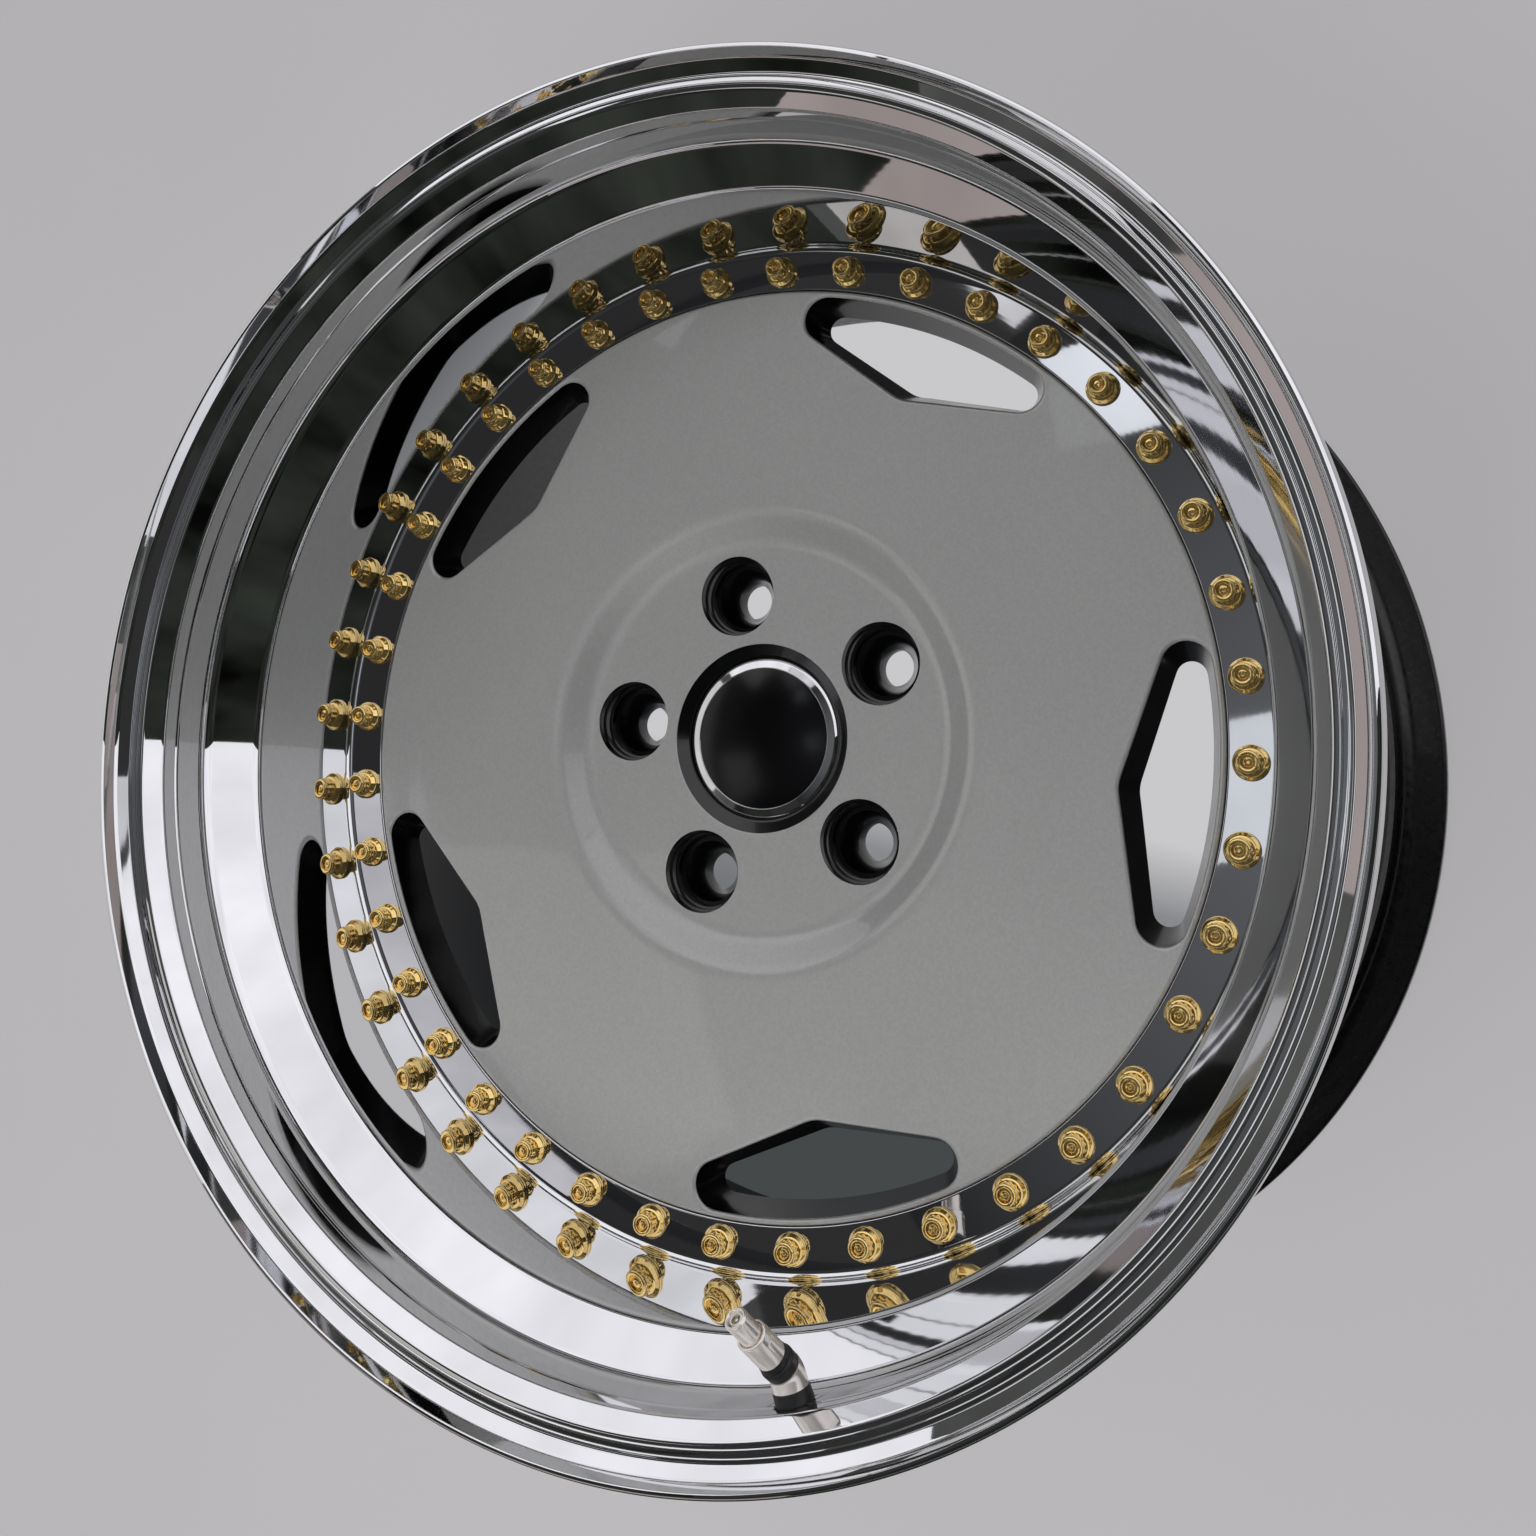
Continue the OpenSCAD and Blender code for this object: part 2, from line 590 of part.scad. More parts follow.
outer_lip();
inner_barrel();
centre_disc();
rim_seal();
rim_bolts();
rim_washers();
rim_nuts();
cap_body();
cap_bezel();
cap_dome();
cap_spring_ring();
valve_stem();
valve_inner_seal();
valve_outer_seal();
valve_washer();
valve_nut();
valve_sleeve();
valve_ring();
valve_core();
valve_spring();
valve_pin();
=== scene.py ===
from math import acos, asin, atan, atan2, cos, hypot, pi, radians, sin, sqrt, tan

import bpy
from mathutils import Matrix, Vector


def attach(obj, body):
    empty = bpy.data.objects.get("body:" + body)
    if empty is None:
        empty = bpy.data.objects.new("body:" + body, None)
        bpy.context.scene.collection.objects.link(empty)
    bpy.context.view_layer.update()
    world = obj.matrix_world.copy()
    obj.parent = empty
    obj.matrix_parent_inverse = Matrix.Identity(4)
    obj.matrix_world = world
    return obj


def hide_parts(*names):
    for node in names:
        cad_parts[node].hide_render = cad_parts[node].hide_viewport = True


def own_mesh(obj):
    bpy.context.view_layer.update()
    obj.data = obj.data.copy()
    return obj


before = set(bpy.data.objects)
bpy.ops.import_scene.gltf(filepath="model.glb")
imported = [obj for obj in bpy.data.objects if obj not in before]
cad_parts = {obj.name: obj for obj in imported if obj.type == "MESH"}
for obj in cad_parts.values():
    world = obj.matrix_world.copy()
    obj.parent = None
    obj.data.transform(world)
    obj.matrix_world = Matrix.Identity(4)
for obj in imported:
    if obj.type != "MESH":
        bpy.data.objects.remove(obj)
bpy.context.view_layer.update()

bl_info = {
    "name": "Split rim wheel",
    "version": (1, 0, 0),
    "blender": (4, 5, 0),
    "location": "3D View > Sidebar > Wheel",
    "description": "Polished split rim road wheel with its studio",
    "category": "Add Mesh",
}

MM = 0.001


def to_linear(text):
    """sRGB hex to linear red, green, blue and alpha"""
    parts = [int(text[i:i + 2], 16) / 255 for i in (0, 2, 4)]
    return [p / 12.92 if p <= 0.04045 else ((p + 0.055) / 1.055) ** 2.4 for p in parts] + [1.0]


# Sizes and colours that a user would change

def length(name, description, millimetres):
    return bpy.props.FloatProperty(name=name, description=description, default=millimetres * MM,
                                   unit="LENGTH", subtype="DISTANCE", precision=4)


def colour(name, description, text):
    return bpy.props.FloatVectorProperty(name=name, description=description, default=to_linear(text),
                                         size=4, min=0, max=1, subtype="COLOR")


class WheelSizes(bpy.types.PropertyGroup):
    bead_diameter: length("Bead seat", "Diameter of the tyre's seat on both rim halves", 462)
    rim_width: length("Rim width", "Width between the tyre faces of the flanges", 254)
    flange_height: length("Flange height", "Height of a flange over the bead seat", 17.5)
    lip_depth: length("Lip depth", "Depth of the bolted band behind the front edge", 107.7)
    bolt_circle: length("Bolt circle", "Diameter of the circle of rim bolts", 390)
    bolt_count: bpy.props.IntProperty(name="Rim bolts", description="Number of rim bolts", default=40, min=3)
    face_diameter: length("Painted face", "Diameter of the painted face inside the bolted band", 373.2)
    pad_diameter: length("Hub pad", "Diameter of the hub pad at the foot of its step", 160)
    pad_drop: length("Pad depth", "Depth of the hub pad below the painted face", 7.5)
    lug_circle: length("Lug circle", "Pitch circle of the lug holes", 120)
    cap_diameter: length("Cap", "Diameter of the centre cap's flange", 66.4)
    polish_lines: length("Polishing lines", "Spacing of the faint lines that polishing leaves", 2.4)
    flake: length("Paint flake", "Size of the metallic flakes in the silver paint", 0.9)


class WheelColours(bpy.types.PropertyGroup):
    alloy: colour("Polished alloy", "Mirror polished aluminium of the lip", "e4e4e6")
    silver: colour("Silver paint", "Metallic base coat of the disc", "9a9a99")
    black: colour("Black lacquer", "Gloss black of the windows and pockets", "050506")
    barrel: colour("Barrel", "Black powder coat of the barrel", "070708")
    gold: colour("Gold plate", "Plating of the rim bolts", "f7d68c")
    floor: colour("Floor", "Colour of the studio floor", "bdbbbd")
    card: colour("Card", "Pale card that shows through the windows and lug holes", "c9c8ca")


def sizes():
    return bpy.context.scene.wheel_sizes


def colours():
    return bpy.context.scene.wheel_colours


# Shapes

def rounded(corners, steps=8, shoulder=0.25):
    """Points in metres of a closed outline of corners (x, y, radius) in millimetres. Each round corner
    becomes an arc, and each long straight gets a point near its ends that keeps it flat when shaded smooth."""
    points = []
    for i, (x, y, radius) in enumerate(corners):
        here = Vector((x, y))
        if not radius:
            points.append(here)
            continue
        back = (Vector(corners[i - 1][:2]) - here).normalized()
        on = (Vector(corners[(i + 1) % len(corners)][:2]) - here).normalized()
        half = acos(max(-1, min(1, back.dot(on)))) / 2
        centre = here + (back + on).normalized() * radius / sin(half)
        first = here + back * radius / tan(half) - centre
        last = here + on * radius / tan(half) - centre
        start = atan2(first.y, first.x)
        sweep = (atan2(last.y, last.x) - start + pi) % (2 * pi) - pi
        points += [centre + radius * Vector((cos(start + sweep * k / steps), sin(start + sweep * k / steps)))
                   for k in range(steps + 1)]
    full = []
    for a, b in zip(points, points[1:] + points[:1]):
        full.append(a)
        gap = (b - a).length
        if gap > 6 * shoulder:
            full += [a + (b - a) * shoulder / gap, b - (b - a) * shoulder / gap]
    return [p * MM for p in full]


def deselect():
    if bpy.context.object and bpy.context.object.mode != "OBJECT":
        bpy.ops.object.mode_set(mode="OBJECT")
    bpy.ops.object.select_all(action="DESELECT")


def only(obj):
    """Select this object alone and make it the active one"""
    deselect()
    obj.select_set(True)
    bpy.context.view_layer.objects.active = obj


def single_point(name, place):
    """A new mesh in edit mode with one selected point, made by merging a small plane"""
    deselect()
    bpy.ops.mesh.primitive_plane_add(size=MM, location=(0, 0, 0))
    obj = bpy.context.object
    obj.name = obj.data.name = name
    bpy.ops.object.mode_set(mode="EDIT")
    bpy.ops.mesh.select_all(action="SELECT")
    bpy.ops.mesh.merge(type="CENTER")
    bpy.ops.transform.translate(value=place)
    return obj


def draw(points):
    """Extrude the selected point from place to place along the points"""
    for a, b in zip(points, points[1:]):
        bpy.ops.mesh.extrude_region_move(TRANSFORM_OT_translate={"value": b - a})


def cleaned(obj, smooth=32):
    """Merge doubles, turn the faces outwards, and shade smooth up to an angle"""
    bpy.ops.mesh.select_all(action="SELECT")
    bpy.ops.mesh.remove_doubles(threshold=2e-6)
    bpy.ops.mesh.normals_make_consistent(inside=False)
    bpy.ops.object.mode_set(mode="OBJECT")
    if smooth:
        only(obj)
        bpy.ops.object.shade_smooth_by_angle(angle=radians(smooth))
    return obj


def turned(name, outline, steps=256, smooth=32, closed=True, angle=2 * pi):
    """A piece turned about its own z axis from an outline of radius and height, as on a lathe"""
    points = [Vector((p[0], 0, p[1])) for p in outline]
    if closed:
        points.append(points[0])
    obj = single_point(name, points[0])
    draw(points)
    bpy.ops.mesh.select_all(action="SELECT")
    bpy.ops.mesh.spin(steps=steps, angle=angle, center=(0, 0, 0), axis=(0, 0, 1))
    return cleaned(obj, smooth)


def placed(obj, matrix):
    """Move a finished piece to its place in the wheel and keep that place in its mesh"""
    only(obj)
    obj.matrix_world = matrix
    bpy.ops.object.transform_apply(location=True, rotation=True, scale=True)
    return obj


def copied(obj, name, matrix):
    """A copy with its own mesh at another place"""
    only(obj)
    bpy.ops.object.duplicate(linked=False)
    twin = bpy.context.object
    twin.name = twin.data.name = name
    return placed(twin, matrix)


def modified(obj, kind, **settings):
    """Add a modifier and apply it"""
    only(obj)
    bpy.ops.object.modifier_add(type=kind)
    modifier = obj.modifiers[-1]
    for key, value in settings.items():
        setattr(modifier, key, value)
    bpy.ops.object.modifier_apply(modifier=modifier.name)
    return obj


def cut(obj, *tools):
    """Cut tools out of a piece and throw the tools away"""
    for tool in tools:
        modified(obj, "BOOLEAN", operation="DIFFERENCE", solver="EXACT", object=tool)
        bpy.data.objects.remove(tool)
    return obj


def about(degrees):
    return Matrix.Rotation(radians(degrees), 4, "Z")


def finished(obj, node, slot, body, *materials):
    """Give a piece its finish, attach it to its body's empty and hide the CAD node that it stands for"""
    obj.data.materials.clear()
    for material in materials:
        obj.data.materials.append(material)
    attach(obj, body)
    if node:
        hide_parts(node)
    return obj


# Materials

def node(tree, kind, links=(), **settings):
    """Add a node, set its properties and sockets, and link what comes into it"""
    new = tree.nodes.new(kind)
    for key, value in settings.items():
        if hasattr(new, key):
            setattr(new, key, value)
        else:
            new.inputs[key.replace("_", " ")].default_value = value
    for source, socket in links:
        tree.links.new(source, new.inputs[socket])
    return new


def new_material(name, **settings):
    """A material with one Principled shader and its even values"""
    material = bpy.data.materials.new(name)
    material.use_nodes = True
    tree = material.node_tree
    shader = tree.nodes["Principled BSDF"]
    for key, value in settings.items():
        shader.inputs[key.replace("_", " ")].default_value = value
    return material, tree, shader


def lathe_lines(tree, spacing, strength, distance):
    """Bump of faint rings about the wheel's axis, as a polishing wheel or a tool leaves them"""
    place = node(tree, "ShaderNodeTexCoord").outputs["Object"]
    # the wave's own rings are 20 radians a unit apart at scale 1
    rings = node(tree, "ShaderNodeTexWave", [(place, "Vector")], wave_type="RINGS", rings_direction="Z",
                 Scale=2 * pi / (20 * spacing), Distortion=1.4, Detail=2.0, Detail_Scale=0.6)
    return node(tree, "ShaderNodeBump", [(rings.outputs["Fac"], "Height")], Strength=strength, Distance=distance)


def polished_alloy():
    # Forged aluminium, buffed to a mirror: sharp reflections, slightly soft where the compound was wiped off
    material, tree, shader = new_material("buffed_aluminium", Base_Color=colours().alloy, Metallic=1.0)
    place = node(tree, "ShaderNodeTexCoord").outputs["Object"]
    haze = node(tree, "ShaderNodeTexNoise", [(place, "Vector")], Scale=1 / 0.045, Detail=4.0, Roughness=0.6)
    rough = node(tree, "ShaderNodeMapRange", [(haze.outputs["Fac"], "Value")],
                 From_Min=0.3, From_Max=0.75, To_Min=0.012, To_Max=0.035)
    tree.links.new(rough.outputs["Result"], shader.inputs["Roughness"])
    bump = lathe_lines(tree, sizes().polish_lines, 0.03, 0.00001)
    tree.links.new(bump.outputs["Normal"], shader.inputs["Normal"])
    return material


def silver_paint():
    # Aluminium flake base coat under clear lacquer: soft metallic body, wet gloss on top
    material, tree, shader = new_material("metallic_lacquer", Metallic=0.45, Roughness=0.38,
                                          Coat_Weight=1.0, Coat_Roughness=0.03)
    place = node(tree, "ShaderNodeTexCoord").outputs["Object"]
    # flakes are about 0.03 mm, drawn as coarse as a pixel so that they show
    flake = node(tree, "ShaderNodeTexVoronoi", [(place, "Vector")], Scale=1 / sizes().flake)
    grain = node(tree, "ShaderNodeMapRange", [(flake.outputs["Color"], "Value")], To_Min=0.94, To_Max=1.06)
    cloud = node(tree, "ShaderNodeTexNoise", [(place, "Vector")], Scale=1 / 0.08, Detail=2.0)
    drift = node(tree, "ShaderNodeMapRange", [(cloud.outputs["Fac"], "Value")], To_Min=0.97, To_Max=1.03)
    both = node(tree, "ShaderNodeMath", [(grain.outputs["Result"], 0), (drift.outputs["Result"], 1)],
                operation="MULTIPLY")
    tint = node(tree, "ShaderNodeHueSaturation", [(both.outputs[0], "Value")], Color=colours().silver)
    tree.links.new(tint.outputs["Color"], shader.inputs["Base Color"])
    peel = node(tree, "ShaderNodeTexNoise", [(place, "Vector")], Scale=1 / 0.006, Detail=1.0)
    bump = node(tree, "ShaderNodeBump", [(peel.outputs["Fac"], "Height")], Strength=0.06, Distance=0.0001)
    tree.links.new(bump.outputs["Normal"], shader.inputs["Coat Normal"])
    return material


def black_finish(name, text, rough, mark, coat=0.0):
    """Black lacquer, powder coat, plastic or rubber: dark body, its gloss broken by a fine texture"""
    material, tree, shader = new_material(name, Coat_Weight=coat, Coat_Roughness=0.03)
    place = node(tree, "ShaderNodeTexCoord").outputs["Object"]
    grain = node(tree, "ShaderNodeTexNoise", [(place, "Vector")], Scale=1 / mark, Detail=3.0)
    tone = node(tree, "ShaderNodeMapRange", [(grain.outputs["Fac"], "Value")], To_Min=0.7, To_Max=1.3)
    tint = node(tree, "ShaderNodeHueSaturation", [(tone.outputs["Result"], "Value")], Color=text)
    tree.links.new(tint.outputs["Color"], shader.inputs["Base Color"])
    spread = node(tree, "ShaderNodeMapRange", [(grain.outputs["Fac"], "Value")],
                  From_Min=0.3, From_Max=0.7, To_Min=rough * 0.75, To_Max=rough * 1.25)
    tree.links.new(spread.outputs["Result"], shader.inputs["Roughness"])
    bump = node(tree, "ShaderNodeBump", [(grain.outputs["Fac"], "Height")], Strength=min(0.3, rough), Distance=0.0001)
    tree.links.new(bump.outputs["Normal"], shader.inputs["Normal"])
    return material


def plated(name, text, rough, mark=0.004, metal=1.0):
    """Plated or turned metal: its colour and gloss drift a little from place to place"""
    material, tree, shader = new_material(name, Metallic=metal)
    place = node(tree, "ShaderNodeTexCoord").outputs["Object"]
    haze = node(tree, "ShaderNodeTexNoise", [(place, "Vector")], Scale=1 / mark, Detail=3.0)
    tone = node(tree, "ShaderNodeMapRange", [(haze.outputs["Fac"], "Value")], To_Min=0.93, To_Max=1.05)
    tint = node(tree, "ShaderNodeHueSaturation", [(tone.outputs["Result"], "Value")], Color=text)
    tree.links.new(tint.outputs["Color"], shader.inputs["Base Color"])
    spread = node(tree, "ShaderNodeMapRange", [(haze.outputs["Fac"], "Value")],
                  From_Min=0.3, From_Max=0.7, To_Min=rough * 0.7, To_Max=rough * 1.3)
    tree.links.new(spread.outputs["Result"], shader.inputs["Roughness"])
    return material


def finish(name):
    """The wheel's finishes by name, each made once"""
    found = bpy.data.materials.get(FINISHES[name][0])
    return found or FINISHES[name][1]()


FINISHES = {
    "alloy": ("buffed_aluminium", polished_alloy),
    "silver": ("metallic_lacquer", silver_paint),
    # Black lacquer sprayed into the windows and pockets: wet gloss
    "black": ("black_lacquer", lambda: black_finish("black_lacquer", colours().black, 0.2, 0.02, 0.3)),
    # Powder coat on the barrel: gloss with a little orange peel
    "barrel": ("powder_coat", lambda: black_finish("powder_coat", colours().barrel, 0.3, 0.003, 0.1)),
    # Polished ABS dome under lacquer: the blackest and smoothest surface
    "dome": ("lacquered_abs", lambda: black_finish("lacquered_abs", to_linear("040405"), 0.16, 0.03)),
    # Moulded nylon: dull sheen
    "plastic": ("moulded_nylon", lambda: black_finish("moulded_nylon", to_linear("101011"), 0.4, 0.001)),
    # Moulded rubber: matt and slightly grey
    "rubber": ("moulded_rubber", lambda: black_finish("moulded_rubber", to_linear("161617"), 0.45, 0.0008)),
    # Cured sealant: smooth, dull
    "sealant": ("cured_sealant", lambda: black_finish("cured_sealant", to_linear("4a4a4b"), 0.5, 0.002)),
    # Gold plate over polished steel
    "gold": ("gold_plated_steel", lambda: plated("gold_plated_steel", colours().gold, 0.07, 0.02, 0.93)),
    # Satin nickel on the valve: paler and softer than chrome
    "nickel": ("satin_nickel_plate", lambda: plated("satin_nickel_plate", to_linear("ece5df"), 0.2, 0.003, 0.6)),
    # Bright chrome plate
    "chrome": ("chrome_plate", lambda: plated("chrome_plate", to_linear("e6e5e6"), 0.05, 0.02)),
    # Zinc plated steel: whitish, half gloss
    "zinc": ("zinc_plated_steel", lambda: plated("zinc_plated_steel", to_linear("b9babd"), 0.28)),
    # Turned brass under thin nickel: pale, a little warm
    "brass": ("nickel_plated_brass", lambda: plated("nickel_plated_brass", to_linear("d9d3c8"), 0.2, 0.002, 0.7)),
}


# Heights and radii of the rim, in millimetres, from the rear edge of the barrel

LIP_EDGE, BARREL_EDGE, WALL = 12, 10, 4
LIP_FLANGE, DISC_FLANGE, BARREL_FLANGE = 6.5, 9, 5.5
# The disc: thickness at the windows and the pad, radii of the pad's step, hub bore and pockets
DISC_THICK, PAD_THICK, STEP_R, HUB_R, POCKET_R, WINDOWS = 15, 26, 93, 36.3, 16.7, 5


class Rim:
    """The rim's derived radii and heights"""

    def __init__(self):
        s = sizes()
        self.bead = s.bead_diameter / MM / 2
        self.edge = self.bead + s.flange_height / MM
        self.front = s.rim_width / MM + LIP_EDGE + BARREL_EDGE
        self.band = self.front - s.lip_depth / MM
        self.lip_back = self.band - LIP_FLANGE
        self.disc_back = self.lip_back - DISC_FLANGE
        self.barrel_back = self.disc_back - BARREL_FLANGE
        self.bolt = s.bolt_circle / MM / 2
        self.face_r = s.face_diameter / MM / 2
        self.face = self.band + 0.5
        self.pad = self.face - s.pad_drop / MM
        self.ledge = self.pad - 5.6
        self.band_in = self.face_r + 0.3
        self.band_out = self.bolt + 8.6
        self.joint = self.band_out + WALL
        self.ring = (self.bead - 5.4, 32.2)
        self.step = (self.bead - 3.6, 8.3)

    def visible_side(self, z0, s, t):
        thinner = (t - LIP_EDGE) / 2
        return [(self.ring[0], z0 - s * self.ring[1], 30),
                (self.step[0], z0 - s * (self.step[1] + thinner), 12),
                (self.edge - 7, z0 - s * (6.7 + thinner), 3),
                (self.edge - 5, z0, 1.6),
                (self.edge, z0, 2.4)]

    def tyre_side(self, z0, s, t):
        end = self.bead - 20 * tan(radians(5))
        return [(self.edge, z0 - s * t, 1.5),
                (self.bead, z0 - s * t, 6.5),
                (end, z0 - s * (t + 20), 0),
                (end + 0.8, z0 - s * (t + 21.5), 0),
                (end - 0.8, z0 - s * (t + 26), 2)]

    def valve_seat(self):
        (r, d), (r2, d2) = self.ring, self.step
        return r + (VALVE_Z - (self.front - d)) * (r2 - r) / (d - d2)

    def valve_place(self):
        return about(VALVE_ANGLE) @ Matrix.Translation(Vector((self.valve_seat(), 0, VALVE_Z)) * MM) \
            @ Matrix.Rotation(radians(VALVE_TILT - 90), 4, "Y")

    def bent_place(self):
        return self.valve_place() @ about(VALVE_SWIVEL) @ Matrix.Translation((0, 0, KNEE * MM)) \
            @ Matrix.Rotation(radians(VALVE_BEND), 4, "Y") @ Matrix.Translation((0, 0, KNEE_OUT * MM))


VALVE_Z, VALVE_ANGLE, VALVE_TILT, VALVE_BEND, VALVE_SWIVEL = 250, 273.9, 10.5, 35.4, -9.4
KNEE, KNEE_OUT, RING_H, SLEEVE_H, TIP_H = 8.7, 2.2, 7.2, 12, 9.6
FOOT_R, FOOT_H, ELBOW_R, SPIGOT_R, STEM_R, SLEEVE_R = 6.7, 3.6, 6.2, 4.4, 4.1, 5.5


class Step(bpy.types.Operator):
    """A step in making the wheel"""
    bl_idname = "wheel.step"
    bl_label = "Step"
    bl_options = {"REGISTER", "UNDO"}

    def execute(self, context):
        self.make(Rim())
        deselect()
        return {"FINISHED"}


class OuterLip(Step):
    """The polished outer lip with its stepped flange and bolted band"""
    bl_idname = "wheel.outer_lip"
    bl_label = "Outer lip"

    def make(self, rim):
        bead, edge, front = rim.bead, rim.edge, rim.front
        outline = rounded(
            [(rim.band_in, rim.lip_back, 0), (rim.band_in, rim.band, 0.5), (rim.bolt + 10.3, rim.band, 3),
             # the steep wall, the soft crest, the open cone and the ring where the cone turns up
             (bead - 20.5, front - 54, 7), (bead - 4.5, front - 37.5, 10), (bead - 3.4, front - 24, 0.6),
             (bead - 3.7, front - 23, 0.8), (bead - 3.2, front - 22, 0.6), (bead - 2.8, front - 16, 3),
             # the chamfer behind the step, its floor with two fine ridges, and the soft corner up to the edge
             (bead + 2.8, front - 9.5, 2), (bead + 4.6, front - 9.4, 0.5), (bead + 5.2, front - 9, 0.5),
             (bead + 5.8, front - 9.4, 0.5), (bead + 7.3, front - 9.4, 0.5), (bead + 7.8, front - 9.1, 0.5),
             (edge - 8.6, front - 9.3, 1.5), (edge - 4.3, front - 5.6, 3),
             (edge - 2.5, front - 0.8, 1.2), (edge - 1.9, front, 0.5), (edge, front, 2.4)]
            + rim.tyre_side(front, 1, LIP_EDGE) + [(bead - 14.2, front - 56.6, 6), (rim.joint, rim.lip_back, 0)], 8)
        lip = turned("outer_lip_polished", outline, 320, smooth=24)
        recess = placed(turned("recess", rounded([(0, -20, 0), (SPIGOT_R + 0.2, -20, 0), (SPIGOT_R + 0.2, -1.3, 0),
                                                  (FOOT_R + 0.3, -1.3, 0), (FOOT_R + 0.3, 10, 0), (0, 10, 0)]), 48),
                        rim.valve_place())
        flat = placed(turned("flat", rounded([(0, -20, 0), (8, -20, 0), (8, -3.4, 0), (0, -3.4, 0)]), 48),
                      rim.valve_place())
        cut(lip, recess, flat)
        finished(lip, "outer_lip", "polished_alloy", "wheel", finish("alloy"))


class InnerBarrel(Step):
    """The black barrel that carries the rear flange"""
    bl_idname = "wheel.inner_barrel"
    bl_label = "Inner barrel"

    def make(self, rim):
        inner = rim.joint - WALL
        outline = rounded(
            [(rim.band_in + 0.4, rim.barrel_back, 1), (rim.band_in + 0.4, rim.disc_back, 0),
             (rim.joint, rim.disc_back, 0), (rim.joint, 62, 10)]
            + rim.tyre_side(0, -1, BARREL_EDGE)[::-1] + rim.visible_side(0, -1, BARREL_EDGE)[::-1]
            + [(inner, 60, 10), (inner, rim.barrel_back, 1.5)], 8)
        barrel = turned("inner_barrel_coated", outline, 256)
        finished(barrel, "inner_barrel", "black_alloy", "wheel", finish("barrel"))


def arc(cx, cy, radius, first, last, steps):
    return [Vector((cx + radius * cos(first + (last - first) * i / steps),
                    cy + radius * sin(first + (last - first) * i / steps))) for i in range(steps + 1)]


def window_outline(inset, steps=12):
    """Outline of the window at the top: an outer arc, two round ends and two straight inner edges"""
    end_r, out_r = 9.5 - inset * 0.75, 184.4 - inset
    cx, tip, tip_r = 45.7 - inset * 0.6, 148.2 + inset, 14
    cy = sqrt((out_r - end_r) ** 2 - cx * cx)
    lean = atan((cy - tip) / cx) - asin(end_r / hypot(cx, cy - tip))
    out_a = atan2(cy, cx)
    return (arc(0, 0, out_r, pi - out_a, out_a, 28) + arc(cx, cy, end_r, out_a, lean - pi / 2, steps)
            + arc(0, tip + tip_r / cos(lean), tip_r, lean - pi / 2, -lean - pi / 2, 4)
            + arc(-cx, cy, end_r, 1.5 * pi - lean, pi - out_a, steps))


def window_tool(rim):
    """The tapered block that cuts one window and rounds its edge"""
    draft, soft = 5 / DISC_THICK, 1.7
    levels = [(rim.face - DISC_THICK - 1, draft * (DISC_THICK + 1))]
    start = soft * (1 - sin(atan(draft)))
    for i in range(7):
        turn = atan(draft) + (pi / 2 - atan(draft)) * i / 6
        levels.append((rim.face - soft * (1 - sin(turn)), draft * start - soft * (cos(atan(draft)) - cos(turn))))
    levels.append((rim.face + 1, levels[-1][1]))
    loops = []
    for z, inset in levels:
        loop = [Vector((p.x, p.y, z)) * MM for p in window_outline(inset)]
        loop = [p for p, q in zip(loop, loop[1:] + loop[:1]) if (q - p).length > 2e-6]
        loops.append(single_point("window_loop", loop[0]))
        draw(loop + loop[:1])
        bpy.ops.mesh.select_all(action="SELECT")
        bpy.ops.mesh.remove_doubles(threshold=2e-6)
        bpy.ops.object.mode_set(mode="OBJECT")
    deselect()
    for loop in loops:
        loop.select_set(True)
    bpy.context.view_layer.objects.active = loops[0]
    bpy.ops.object.join()
    bpy.ops.object.mode_set(mode="EDIT")
    bpy.ops.mesh.select_all(action="SELECT")
    bpy.ops.mesh.bridge_edge_loops()
    bpy.ops.mesh.select_all(action="SELECT")
    bpy.ops.mesh.fill_holes(sides=0)
    return cleaned(loops[0], smooth=0)


